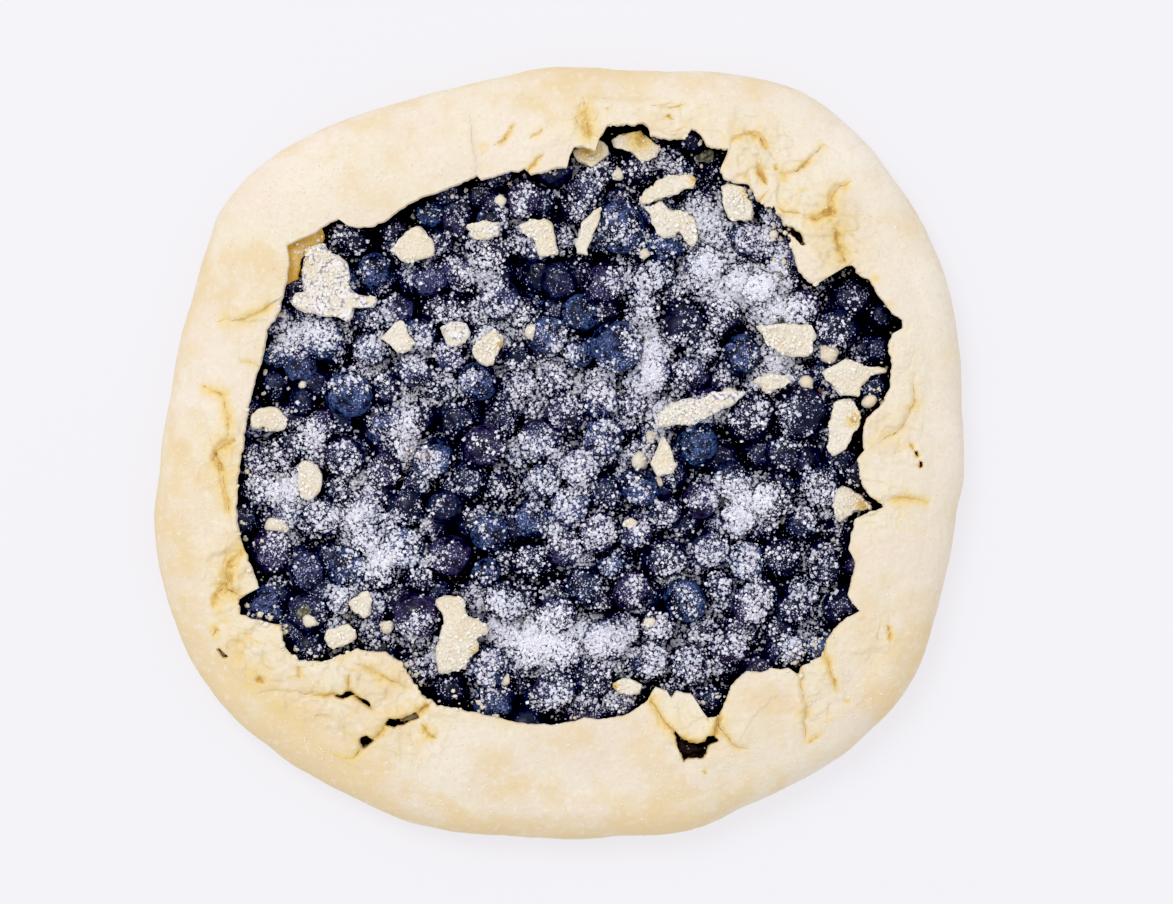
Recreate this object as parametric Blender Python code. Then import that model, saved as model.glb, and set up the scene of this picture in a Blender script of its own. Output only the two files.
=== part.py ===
"""A raw blueberry galette: a round of shortcrust folded inwards over a heap of berries, with
torn scraps of dough lying on the fruit.

The origin is the middle of the underside, +Z is up and +Y is the side with the highest notch
in the opening. Lengths are in metres. Outlines and places were read off one square-on view
from above, whose scale follows from the galette's width.
"""
import math
import random
from collections import namedtuple

import bmesh
import bpy
import numpy as np
from mathutils import Vector, noise

# ---------------------------------------------------------------- driving dimensions
GALETTE_WIDTH = 0.2693          # across the fold, along X
DOUGH = 0.004                   # rolled thickness of the shortcrust
LIP_HEIGHT = 0.0245             # top of the folded flaps at the opening
FOLD_MID_HEIGHT = 0.0085        # height of the widest part of the outer fold
FOLD_FOOT = 0.007               # how far the fold draws in below its widest part
FOLD_SHOULDER = 0.014           # how far it draws in above
FOLD_SHOULDER_RISE = 0.0125
BAND_START = 0.0104             # in from the outer edge, where the shoulder meets the flap
CORE_EDGE_HEIGHT = 0.0140       # bare fruit heap at the opening's edge
CORE_CROWN = 0.0025             # how much higher it stands in the middle
FLOOR_GAP = 0.00035             # between the fruit and the dough under it
SIDE_GAP = 0.0008               # between the fruit and the folded dough
TOUCH_GAP = 0.0004              # between a berry and what lies on or over it
LIP_ROUND = 0.0016              # how far the flap's top ends short of the torn lip
BERRY_FLATNESS = 0.86           # height of a berry against its width
BERRY_PROUD = 0.55              # how much of a berry's width stands above the bare heap
BERRY_UNEVEN = 0.0008           # one berry stands this much higher or lower than the next
SCRAP_LIFT = 0.0062             # underside of a scrap above the bare heap
SCRAP_THICKNESS = 0.0032
TUCKED_SCRAP_BASE = 0.0156      # underside of a scrap pushed under the lip
CRUST_TRIANGLES = 5600
FILLING_TRIANGLES = 6900

# ---------------------------------------------------------------- scale of the view
VIEW_WIDTH = 808.0              # pixels across the galette
VIEW_CENTRE = (559.0, 453.0)
PIXEL = GALETTE_WIDTH / VIEW_WIDTH

# Outer edge of the fold, clockwise from the top, in pixels of the view.
FOLD_EDGE = [
    (560, 68), (650, 71), (735, 74), (800, 92), (864, 142), (904, 194), (938, 258), (956, 325),
    (962, 405), (963, 445), (956, 522), (940, 595), (916, 672), (875, 728), (815, 774),
    (752, 804), (685, 831), (620, 837), (500, 836), (430, 827), (350, 796), (250, 731),
    (205, 682), (172, 612), (155, 520), (162, 450), (170, 395), (182, 330), (200, 275),
    (222, 210), (250, 176), (320, 131), (400, 102), (480, 82),
]

# Torn lip of the flaps round the opening, clockwise from the upper left, in pixels.
LIP_EDGE = [
    (290, 247), (311, 238), (341, 221), (350, 228), (362, 230), (377, 228), (388, 222), (424, 199),
    (440, 195), (474, 181), (478, 178), (482, 183), (512, 174), (519, 175), (525, 171), (531, 177),
    (545, 175), (557, 170), (567, 171), (570, 156), (576, 148), (604, 135), (607, 128), (616, 129),
    (626, 126), (634, 129), (642, 126), (647, 130), (650, 138), (676, 143), (684, 141), (690, 133),
    (695, 133), (706, 147), (716, 152), (728, 151), (719, 172), (723, 182), (745, 186), (752, 193),
    (757, 203), (764, 209), (771, 209), (785, 231), (788, 240), (790, 253), (796, 273), (809, 285),
    (814, 286), (845, 267), (852, 268), (858, 277), (868, 283), (873, 293), (890, 315), (901, 321),
    (899, 330), (889, 335), (886, 346), (889, 356), (888, 388), (880, 405), (871, 412), (863, 420),
    (861, 436), (862, 450), (854, 458), (856, 476), (868, 491), (883, 507), (868, 512), (853, 518),
    (849, 533), (847, 548), (854, 562), (845, 594), (851, 603), (858, 610), (845, 616), (832, 627),
    (819, 654), (801, 664), (797, 673), (788, 667), (770, 667), (760, 671), (746, 669), (735, 677),
    (730, 684), (718, 713), (706, 715), (701, 708), (691, 692), (676, 689), (670, 696), (666, 688),
    (655, 685), (646, 700), (628, 712), (606, 717), (585, 716), (560, 722), (520, 721), (500, 716),
    (460, 706), (440, 703), (420, 688), (402, 660), (388, 650), (358, 648), (338, 655), (322, 661),
    (310, 659), (300, 659), (288, 648), (282, 625), (243, 613), (241, 598), (262, 587), (240, 522),
    (247, 440), (263, 366), (268, 348), (269, 330), (277, 322), (283, 308), (289, 285), (292, 266),
]

# A crease runs along route (pixels). Where one flap laps over another its left side, seen
# along the route, stands higher by rise (lower if negative), fading over reach. The groove
# has a depth and a width. fades says which ends of the route die away: both, start or none.
Crease = namedtuple("Crease", "route rise reach groove width fades")
CREASES = [
    Crease([(462, 88), (470, 118), (477, 160), (480, 183)], -0.0018, 0.030, 0.0008, 0.0011, "start"),
    Crease([(560, 112), (575, 128), (590, 142)], -0.0016, 0.014, 0.0008, 0.0012, "start"),
    Crease([(583, 98), (590, 125), (592, 142)], 0.0, 0.010, 0.0016, 0.0016, "start"),
    Crease([(728, 150), (735, 140), (745, 136), (757, 137), (765, 150)],
           -0.0009, 0.010, 0.0014, 0.0010, "start"),
    Crease([(757, 160), (757, 172), (763, 184)], 0.0, 0.010, 0.0014, 0.0010, "both"),
    Crease([(772, 168), (785, 176), (797, 171), (818, 152), (836, 132)],
           0.0010, 0.016, 0.0012, 0.0012, "both"),
    Crease([(800, 216), (816, 222), (829, 214), (829, 200), (836, 190), (850, 182)],
           -0.0014, 0.014, 0.0022, 0.0015, "both"),
    Crease([(829, 222), (836, 233), (836, 243), (843, 262)], 0.0, 0.010, 0.0015, 0.0015, "start"),
    Crease([(912, 372), (906, 400), (897, 425)], 0.0010, 0.016, 0.0012, 0.0014, "both"),
    Crease([(888, 498), (905, 499), (935, 498)], 0.0, 0.010, 0.0012, 0.0012, "both"),
    Crease([(819, 644), (829, 667), (836, 694)], 0.0, 0.010, 0.0016, 0.0011, "end"),
    Crease([(801, 668), (800, 690), (808, 722), (812, 740), (828, 737)],
           -0.0012, 0.014, 0.0018, 0.0013, "both"),
    Crease([(719, 712), (718, 725), (735, 745), (750, 747)], 0.0010, 0.012, 0.0012, 0.0012, "end"),
    Crease([(652, 702), (660, 716), (685, 738), (698, 742), (712, 735), (718, 716)],
           0.0019, 0.014, 0.0010, 0.0012, "none"),
    Crease([(253, 690), (300, 692), (345, 694), (352, 690), (374, 708)],
           0.0010, 0.014, 0.0018, 0.0012, "both"),
    Crease([(355, 661), (385, 675), (414, 687)], 0.0008, 0.010, 0.0012, 0.0010, "both"),
    Crease([(328, 746), (340, 757), (352, 757), (390, 722), (420, 712), (428, 704)],
           0.0012, 0.012, 0.0018, 0.0013, "start"),
    Crease([(205, 668), (218, 654), (228, 660)], 0.0, 0.010, 0.0014, 0.0013, "both"),
    Crease([(233, 548), (231, 565), (234, 585), (241, 594)], 0.0012, 0.010, 0.0022, 0.0022, "start"),
    Crease([(214, 456), (224, 446), (236, 440)], 0.0, 0.010, 0.0018, 0.0016, "both"),
    Crease([(220, 456), (228, 480), (236, 515)], 0.0008, 0.010, 0.0012, 0.0012, "start"),
    Crease([(218, 322), (245, 321), (262, 313), (273, 306)], 0.0012, 0.016, 0.0010, 0.0012, "start"),
    Crease([(503, 144), (510, 130), (518, 122)], 0.0, 0.010, 0.0012, 0.0010, "both"),
    Crease([(528, 173), (540, 162), (548, 152)], 0.0, 0.010, 0.0014, 0.0010, "end"),
]

# Holes torn in the flaps, as outlines in pixels.
TEARS = [
    [(674, 729), (681, 736), (689, 741), (697, 742), (704, 740), (707, 734), (713, 734),
     (718, 739), (707, 744), (705, 751), (703, 756), (688, 756), (683, 760), (680, 752),
     (677, 745)],
    [(387, 721), (390, 717), (404, 717), (417, 711), (420, 716), (412, 719), (405, 723),
     (395, 725), (388, 724)],
    [(336, 694), (343, 693), (347, 690), (352, 690), (356, 693), (344, 697)],
    [(357, 694), (364, 697), (371, 701), (374, 709), (366, 702)],
    [(362, 736), (367, 733), (375, 739), (370, 743), (365, 746), (361, 741)],
    [(784, 230), (793, 232), (800, 237), (805, 245), (797, 242), (789, 238)],
]
TEAR_DEPTH = 0.0025
TEAR_SLOPE = 0.0006             # how far a hole's side slopes out
SWELLS = [(0.034, 0.0013), (0.011, 0.0005)]  # soft swells of the flaps: width and height

# The berries that stand out in the view: centre and width in pixels.
PLACED_BERRIES = [
    (375, 272, 40), (322, 338, 48), (275, 355, 32), (350, 395, 50), (304, 401, 33),
    (345, 457, 44), (295, 445, 35), (478, 382, 42), (430, 215, 30), (480, 195, 30),
    (525, 200, 44), (455, 225, 30), (345, 235, 34), (395, 232, 30), (430, 280, 40),
    (400, 310, 32), (550, 335, 40), (518, 357, 32), (485, 445, 46), (540, 440, 44),
    (450, 355, 38), (415, 370, 36), (455, 270, 32), (629, 177, 50), (670, 163, 38),
    (618, 228, 56), (665, 245, 40), (603, 285, 44), (617, 347, 54), (683, 328, 46),
    (722, 318, 42), (740, 355, 44), (690, 375, 40), (850, 298, 44), (800, 310, 44),
    (835, 330, 48), (878, 350, 30), (872, 388, 40), (750, 418, 56), (800, 413, 58),
    (603, 437, 42), (697, 445, 46), (600, 400, 42), (385, 470, 38), (272, 550, 48),
    (325, 515, 46), (348, 566, 42), (265, 605, 44), (310, 648, 40), (417, 615, 52),
    (490, 532, 42), (405, 548, 44), (450, 555, 46), (445, 507, 38), (490, 667, 42),
    (450, 690, 40), (375, 604, 34), (505, 600, 46), (530, 560, 42), (640, 487, 42),
    (700, 500, 40), (570, 507, 42), (565, 548, 42), (635, 533, 36), (685, 600, 46),
    (632, 590, 42), (710, 550, 42), (780, 555, 42), (825, 570, 38), (793, 607, 36),
    (728, 648, 42), (785, 648, 42), (712, 698, 32), (555, 690, 46), (605, 640, 46),
    (620, 702, 36), (817, 480, 44), (745, 560, 40), (880, 315, 30), (770, 500, 44),
    (650, 660, 42), (540, 250, 34), (705, 265, 44), (760, 290, 40), (748, 240, 40),
    (500, 300, 42), (370, 350, 34), (585, 190, 36), (265, 490, 34), (555, 615, 46),
]
FILL_WIDTHS = [0.0145, 0.0135, 0.0125, 0.0115, 0.0105]  # berries that fill in between them
FILL_STEP = 0.0022              # spacing of the places tried
FILL_CROWDING = 0.86            # least distance between two berries against their radii
BERRY_SEED = 7

# Scraps of dough on the fruit: outline in pixels, and whether it is pushed under the lip.
SCRAPS = {
    "corner": ([(309, 250), (318, 245), (326, 247), (331, 253), (338, 258), (346, 264), (350, 275),
                (351, 287), (358, 295), (370, 298), (381, 299), (376, 307), (363, 308), (354, 307),
                (352, 317), (348, 323), (342, 318), (322, 316), (308, 313), (295, 307), (298, 296),
                (308, 294), (305, 280), (305, 266)], False),
    "kite": ([(392, 251), (412, 231), (421, 228), (434, 245), (433, 257), (408, 263)], False),
    "top_left": ([(468, 227), (484, 223), (500, 226), (497, 237), (484, 241), (471, 237)], False),
    "hook": ([(520, 226), (545, 221), (553, 226), (558, 254), (540, 256), (536, 241)], False),
    "sickle": ([(600, 208), (584, 222), (577, 240), (577, 255), (586, 256), (591, 236),
                (598, 218)], False),
    "curl": ([(575, 150), (584, 145), (600, 141), (608, 148), (609, 155), (600, 160), (591, 168),
              (579, 164), (575, 157)], True),
    "notch": ([(613, 141), (620, 136), (630, 134), (641, 132), (649, 142), (658, 150), (656, 159),
               (648, 163), (641, 162), (632, 153), (624, 149), (615, 147)], True),
    "wing_arm": ([(637, 203), (645, 195), (654, 189), (656, 182), (672, 179), (689, 178),
                  (696, 182), (691, 188), (680, 190), (678, 197), (667, 199), (656, 202),
                  (646, 205), (640, 207)], False),
    "wing": ([(642, 210), (650, 208), (661, 205), (665, 210), (671, 214), (681, 214), (690, 220),
              (696, 230), (698, 240), (691, 247), (686, 241), (682, 232), (677, 229), (676, 236),
              (667, 238), (656, 237), (650, 224), (648, 214)], False),
    "tab": ([(722, 188), (731, 187), (741, 189), (744, 198), (749, 207), (753, 214), (751, 220),
             (743, 223), (733, 222), (727, 217), (723, 206), (721, 196)], False),
    "slab": ([(757, 328), (780, 327), (800, 326), (811, 327), (813, 337), (809, 341), (811, 350),
              (807, 357), (797, 356), (778, 353), (770, 348), (763, 341)], False),
    "slab_foot": ([(754, 382), (767, 374), (790, 380), (783, 388), (766, 392)], False),
    "bar": ([(654, 418), (664, 407), (700, 398), (730, 389), (744, 394), (716, 413), (690, 424),
             (660, 427)], False),
    "strap": ([(822, 373), (830, 370), (838, 366), (845, 362), (853, 364), (863, 368), (874, 367),
               (883, 369), (881, 372), (870, 374), (863, 379), (858, 385), (855, 395), (840, 395),
               (834, 390), (829, 383), (822, 381)], False),
    "strap_foot": ([(832, 403), (850, 399), (857, 414), (857, 426), (843, 450), (833, 457),
                    (826, 448), (829, 415)], False),
    "finger": ([(664, 438), (671, 448), (675, 465), (670, 472), (657, 474), (652, 462)], False),
    "right_lip": ([(833, 497), (838, 490), (843, 488), (850, 490), (858, 495), (866, 502),
                   (871, 505), (868, 509), (858, 511), (852, 512), (846, 517), (838, 520),
                   (834, 517), (833, 510), (830, 505)], True),
    "left_lip": ([(254, 420), (261, 411), (268, 410), (275, 409), (282, 412), (287, 418),
                  (288, 423), (285, 428), (279, 431), (271, 430), (264, 427), (258, 429),
                  (254, 429)], False),
    "pebble": ([(301, 466), (304, 463), (311, 461), (318, 465), (322, 470), (322, 489), (317, 496),
                (311, 499), (305, 496), (302, 488), (300, 476)], False),
    "leaf": ([(384, 337), (391, 330), (397, 325), (403, 322), (407, 329), (410, 338), (414, 345),
              (412, 351), (405, 354), (400, 353), (396, 346), (390, 342)], False),
    "lump": ([(443, 328), (453, 322), (466, 326), (471, 336), (464, 346), (448, 345)], False),
    "brick": ([(474, 352), (476, 342), (485, 337), (495, 331), (502, 338), (502, 348), (497, 358),
               (492, 364), (486, 366), (480, 360)], False),
    "saddle": ([(439, 597), (450, 594), (461, 596), (465, 603), (468, 613), (475, 617), (489, 624),
                (491, 629), (487, 633), (478, 637), (480, 644), (477, 650), (470, 657), (467, 666),
                (460, 670), (438, 671), (436, 660), (437, 645), (444, 632), (447, 621), (444, 613),
                (440, 604)], False),
    "lower_lip": ([(328, 637), (330, 632), (335, 628), (344, 625), (350, 624), (356, 631),
                   (357, 637), (354, 642), (342, 644), (335, 646), (331, 642)], False),
    "chip": ([(350, 600), (358, 598), (364, 592), (370, 591), (374, 600), (372, 612), (366, 616),
              (358, 612), (353, 607)], False),
    "plug": ([(613, 684), (624, 677), (640, 682), (637, 692), (620, 693)], False),
}

# Crumbs of dough too small to be pieces of their own: centre and width in pixels.
CRUMBS = [
    (501, 202, 12), (532, 332, 14), (649, 436, 14), (827, 353, 20), (617, 174, 15),
    (772, 235, 11), (311, 621, 15), (345, 616, 11), (388, 626, 14), (505, 678, 12),
    (630, 523, 12), (649, 622, 14), (865, 406, 13), (304, 386, 12), (278, 527, 22),
    (804, 384, 17), (659, 481, 11), (640, 462, 20), (644, 254, 11),
]


# ---------------------------------------------------------------- places in the view
def from_view(pixel):
    """X and Y in metres of a pixel of the view."""
    return ((pixel[0] - VIEW_CENTRE[0]) * PIXEL, (VIEW_CENTRE[1] - pixel[1]) * PIXEL)


def bearings_and_radii(edge):
    """An edge as bearings, rising from -pi to pi, and radii about the origin."""
    places = [from_view(p) for p in edge]
    pairs = sorted((math.atan2(y, x), math.hypot(x, y)) for x, y in places)
    return np.array([p[0] for p in pairs]), np.array([p[1] for p in pairs])


def smooth_edge(edge, bearing):
    """Radius at each bearing on a smooth closed curve through the edge's points."""
    turns, radii = bearings_and_radii(edge)
    turns = np.concatenate((turns[-2:] - 2 * math.pi, turns, turns[:2] + 2 * math.pi))
    radii = np.concatenate((radii[-2:], radii, radii[:2]))
    slope = np.gradient(radii, turns)
    i = np.clip(np.searchsorted(turns, bearing) - 1, 0, len(turns) - 2)
    step = turns[i + 1] - turns[i]
    t = (bearing - turns[i]) / step
    return (
        radii[i] * (2 * t**3 - 3 * t**2 + 1)
        + slope[i] * step * (t**3 - 2 * t**2 + t)
        + radii[i + 1] * (3 * t**2 - 2 * t**3)
        + slope[i + 1] * step * (t**3 - t**2)
    )


def torn_edge(edge, bearing):
    """Radius at each bearing on straight runs between the edge's points."""
    turns, radii = bearings_and_radii(edge)
    turns = np.concatenate((turns[-1:] - 2 * math.pi, turns, turns[:1] + 2 * math.pi))
    radii = np.concatenate((radii[-1:], radii, radii[:1]))
    return np.interp(bearing, turns, radii)


def even_bearings(count):
    return np.arange(count) * (2 * math.pi / count) - math.pi


# ---------------------------------------------------------------- the folded dough
DEEPEST_GROOVE = -0.62 * DOUGH
HIGHEST_SWELL = 0.0024
FLAP_SPREAD = math.radians(14.0)  # a flap's climb follows the width of the band around it
SPREAD_SAMPLES = 360
spread_bearings = even_bearings(SPREAD_SAMPLES)
band_widths = smooth_edge(FOLD_EDGE, spread_bearings) - torn_edge(LIP_EDGE, spread_bearings)
spread_away = np.minimum(spread_bearings - spread_bearings[0],
                         2 * math.pi - (spread_bearings - spread_bearings[0]))
spread_weights = np.exp(-((spread_away / FLAP_SPREAD) ** 2))
mean_widths = np.array([
    np.sum(band_widths * np.roll(spread_weights, i)) for i in range(SPREAD_SAMPLES)
]) / np.sum(spread_weights)


def mean_width(bearing):
    """Width of the band of dough, averaged over the bearings near each bearing."""
    turns = np.append(spread_bearings, math.pi)
    return np.interp(bearing, turns, np.append(mean_widths, mean_widths[0]))


def flap_height(inset, bearing):
    """Top of the folded flap, inset from the outer edge, before creases."""
    shoulder_top = FOLD_MID_HEIGHT + FOLD_SHOULDER_RISE * math.sin(
        math.acos(1 - BAND_START / FOLD_SHOULDER))
    climb = np.clip((inset - BAND_START) / (mean_width(bearing) - BAND_START), 0, 1)
    return shoulder_top + (LIP_HEIGHT - shoulder_top) * (1 - (1 - climb) ** 2.1)


def crease_relief(x, y, crease):
    """Height that a crease adds at each place."""
    route = [from_view(p) for p in crease.route]
    total = sum(math.dist(a, b) for a, b in zip(route, route[1:]))
    nearest = np.full(x.shape, np.inf)
    side = np.zeros(x.shape)
    along = np.zeros(x.shape)
    passed = 0.0
    for (ax, ay), (bx, by) in zip(route, route[1:]):
        ex, ey = bx - ax, by - ay
        length = math.hypot(ex, ey)
        t = np.clip(((x - ax) * ex + (y - ay) * ey) / length**2, 0, 1)
        dx, dy = x - ax - t * ex, y - ay - t * ey
        away = np.hypot(dx, dy)
        nearer = away < nearest
        nearest = np.where(nearer, away, nearest)
        side = np.where(nearer, np.sign(ex * dy - ey * dx), side)
        along = np.where(nearer, (passed + t * length) / total, along)
        passed += length
    strength = np.ones(x.shape)
    if crease.fades in ("both", "start"):
        strength *= np.clip(along / 0.3, 0, 1)
    if crease.fades in ("both", "end"):
        strength *= np.clip((1 - along) / 0.3, 0, 1)
    step = 0.5 + 0.5 * np.tanh(side * nearest / (0.6 * crease.width) * np.sign(crease.rise or 1))
    lap = abs(crease.rise) * step * np.exp(-nearest / crease.reach)
    groove = crease.groove * np.exp(-((nearest / crease.width) ** 2))
    return strength * lap - np.sqrt(strength) * groove


def outside_by(x, y, outline):
    """Distance from each place to a closed outline, negative inside it."""
    ax, ay = np.asarray(outline).T
    ex, ey = np.roll(ax, -1) - ax, np.roll(ay, -1) - ay
    dx, dy = np.asarray(x)[..., None] - ax, np.asarray(y)[..., None] - ay
    t = np.clip((dx * ex + dy * ey) / (ex**2 + ey**2), 0, 1)
    nearest = np.min(np.hypot(dx - t * ex, dy - t * ey), axis=-1)
    crossed = ((dy < 0) != (dy < ey)) & ((dx * ey < dy * ex) == (ey > 0))
    return np.where(np.sum(crossed, axis=-1) % 2 == 1, -nearest, nearest)


def tear_depth(x, y):
    """How deep the torn holes are at each place."""
    depth = np.zeros(x.shape)
    for tear in TEARS:
        away = outside_by(x, y, [from_view(p) for p in tear])
        depth += TEAR_DEPTH * (0.5 - 0.5 * np.tanh(2 * away / TEAR_SLOPE))
    return depth


def flap_relief(x, y):
    """Everything that makes the flaps uneven: soft swells, laps, creases and tears."""
    swell = np.empty(x.shape)
    for index in np.ndindex(x.shape):
        place = Vector((x[index], y[index], 0.0))
        swell[index] = sum(rise * noise.noise(place / across) for across, rise in SWELLS)
    relief = swell + sum(crease_relief(x, y, crease) for crease in CREASES)
    return np.clip(relief, DEEPEST_GROOVE, HIGHEST_SWELL) - tear_depth(x, y)


def lathe_mesh(name, rings, low_centre, high_centre):
    """A closed mesh from rings of points, listed from the bottom's middle round to the top's."""
    columns = len(rings[0])
    points = [low_centre]
    for ring in rings:
        points.extend(ring)
    points.append(high_centre)
    faces = []
    for j in range(columns):
        after = (j + 1) % columns
        faces.append((0, 1 + after, 1 + j))
        last = 1 + (len(rings) - 1) * columns
        faces.append((last + j, last + after, len(points) - 1))
        for i in range(len(rings) - 1):
            low = 1 + i * columns
            high = low + columns
            faces.append((low + j, low + after, high + after, high + j))
    mesh = bpy.data.meshes.new(name)
    mesh.from_pydata([tuple(p) for p in points], [], faces)
    mesh.update()
    return mesh


def ring_at(bearing, radius, height):
    return np.stack((radius * np.cos(bearing), radius * np.sin(bearing),
                     np.broadcast_to(height, bearing.shape)), axis=1)


def build_crust(material):
    """The folded round of dough, from its flat underside round the fold to the floor inside."""
    columns = 720
    bearing = even_bearings(columns)
    outer = smooth_edge(FOLD_EDGE, bearing)
    lip = torn_edge(LIP_EDGE, bearing)
    rings = [ring_at(bearing, outer - FOLD_FOOT - 0.001, 0.0)]
    for turn in np.radians([-70, -50, -30, -10]):
        inset = FOLD_FOOT * (1 - math.cos(turn))
        rings.append(ring_at(bearing, outer - inset, FOLD_MID_HEIGHT * (1 + math.sin(turn))))
    last_turn = math.degrees(math.acos(1 - BAND_START / FOLD_SHOULDER))
    for turn in np.radians(np.linspace(8, last_turn - 8, 5)):
        inset = FOLD_SHOULDER * (1 - math.cos(turn))
        height = FOLD_MID_HEIGHT + FOLD_SHOULDER_RISE * math.sin(turn)
        rings.append(ring_at(bearing, outer - inset, height))
    flap_end = outer - lip - LIP_ROUND
    for share in np.linspace(0, 1, 30):
        inset = BAND_START + share * (flap_end - BAND_START)
        radius = outer - inset
        height = flap_height(inset, bearing)
        fade_in = min(1.0, 6 * share)
        relief = flap_relief(radius * np.cos(bearing), radius * np.sin(bearing))
        rings.append(ring_at(bearing, radius, height + fade_in * relief))
    edge_height = rings[-1][:, 2]
    lip_under = flap_height(outer - lip, bearing) - DOUGH
    for share, back in ((0.2, 0.0005), (0.55, 0.0), (0.85, 0.0004)):
        height = edge_height + share * (lip_under - edge_height)
        rings.append(ring_at(bearing, lip + back, height))
    inner_start = BAND_START + 0.001
    for share in np.linspace(0, 1, 8):
        inset = flap_end - share * (flap_end - inner_start)
        rings.append(ring_at(bearing, outer - inset, flap_height(inset, bearing) - DOUGH))
    for turn in np.radians([60, 45, 25, 0]):
        inset = FOLD_SHOULDER - (FOLD_SHOULDER - DOUGH) * math.cos(turn)
        height = FOLD_MID_HEIGHT + (FOLD_SHOULDER_RISE - DOUGH) * math.sin(turn)
        rings.append(ring_at(bearing, outer - inset, height))
    hollow = FOLD_MID_HEIGHT - DOUGH
    for turn in np.radians([-30, -60, -90]):
        inset = DOUGH + hollow * (1 - math.cos(turn))
        rings.append(ring_at(bearing, outer - inset, FOLD_MID_HEIGHT + hollow * math.sin(turn)))
    mesh = lathe_mesh("crust", rings, (0, 0, 0), (0, 0, DOUGH))
    mesh.shade_smooth()
    crust = add_object("crust", mesh, material)
    thin_out = crust.modifiers.new("fewer faces", "DECIMATE")
    thin_out.ratio = CRUST_TRIANGLES / (2 * columns * len(rings))
    return crust


# ---------------------------------------------------------------- the heap of berries
LIP_SAMPLES = 720
lip_bearings = even_bearings(LIP_SAMPLES)
lip_radii = torn_edge(LIP_EDGE, lip_bearings)
lip_points = np.stack((lip_radii * np.cos(lip_bearings), lip_radii * np.sin(lip_bearings)), axis=1)


def lip_radius(x, y):
    return float(torn_edge(LIP_EDGE, np.array([math.atan2(y, x)]))[0])


def core_height(x, y):
    """Height of the bare heap inside the opening."""
    share = min(1.0, math.hypot(x, y) / lip_radius(x, y))
    return CORE_EDGE_HEIGHT + CORE_CROWN * (1 - share**2)


def build_core():
    """The bare heap: a smooth body that fills the fold and stops short of the berries' tops."""
    columns = 80
    bearing = even_bearings(columns)
    outer = smooth_edge(FOLD_EDGE, bearing)
    lip = torn_edge(LIP_EDGE, bearing)
    base = DOUGH + FLOOR_GAP
    hollow = FOLD_MID_HEIGHT - DOUGH - SIDE_GAP
    rings = [ring_at(bearing, outer - FOLD_MID_HEIGHT - SIDE_GAP, base)]
    for turn in np.radians([-40, 0]):
        inset = FOLD_MID_HEIGHT - hollow * math.cos(turn) + SIDE_GAP * 0.2
        height = FOLD_MID_HEIGHT + (FOLD_MID_HEIGHT - base) * math.sin(turn)
        rings.append(ring_at(bearing, outer - inset, height))
    for turn in np.radians([40, 68]):
        inset = FOLD_SHOULDER - (FOLD_SHOULDER - DOUGH - SIDE_GAP) * math.cos(turn)
        height = FOLD_MID_HEIGHT + (FOLD_SHOULDER_RISE - DOUGH - SIDE_GAP) * math.sin(turn)
        rings.append(ring_at(bearing, outer - inset, height))
    under = BAND_START + 0.0015 + 0.15 * (mean_width(bearing) - BAND_START)
    under = np.minimum(under, outer - lip - 0.004)
    height = flap_height(under, bearing) - DOUGH - 1.5 * SIDE_GAP
    rings.append(ring_at(bearing, outer - under, height))
    rings.append(ring_at(bearing, lip + 0.0015, CORE_EDGE_HEIGHT + 0.0010))
    for share in (0.93, 0.7, 0.4):
        height = CORE_EDGE_HEIGHT + CORE_CROWN * (1 - share**2)
        rings.append(ring_at(bearing, lip * share, height))
    top = CORE_EDGE_HEIGHT + CORE_CROWN
    return lathe_mesh("core", rings, (0, 0, base), (0, 0, top))


def spread_berries():
    """Places and widths of all berries: those read off the view, then ones that fill the gaps."""
    berries = [(*from_view((u, v)), width * PIXEL) for u, v, width in PLACED_BERRIES]
    rng = random.Random(BERRY_SEED)
    reach = int(np.max(lip_radii) / FILL_STEP) + 1
    tries = [(i * FILL_STEP, j * FILL_STEP) for i in range(-reach, reach + 1)
             for j in range(-reach, reach + 1)]
    tries = [(x, y) for x, y in tries if math.hypot(x, y) < lip_radius(x, y) + 0.001]
    rng.shuffle(tries)
    for width in FILL_WIDTHS:
        for x, y in tries:
            own = width * rng.uniform(0.94, 1.06)
            if all(math.hypot(x - bx, y - by) > FILL_CROWDING * (own + bw) / 2
                   for bx, by, bw in berries):
                berries.append((x, y, own))
    return berries


def scrap_outline(name):
    return [from_view(p) for p in SCRAPS[name][0]]


def scrap_base(name):
    """Height of a scrap's underside."""
    if SCRAPS[name][1]:
        return TUCKED_SCRAP_BASE
    outline = scrap_outline(name)
    x = sum(p[0] for p in outline) / len(outline)
    y = sum(p[1] for p in outline) / len(outline)
    return core_height(x, y) + SCRAP_LIFT


def width_above(level, centre, width):
    """Half width of a berry at a level, or its full half width where that is higher up."""
    tall = width * BERRY_FLATNESS / 2
    if level <= centre:
        return width / 2
    if level >= centre + tall:
        return 0.0
    return width / 2 * math.sqrt(1 - ((level - centre) / tall) ** 2)


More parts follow.
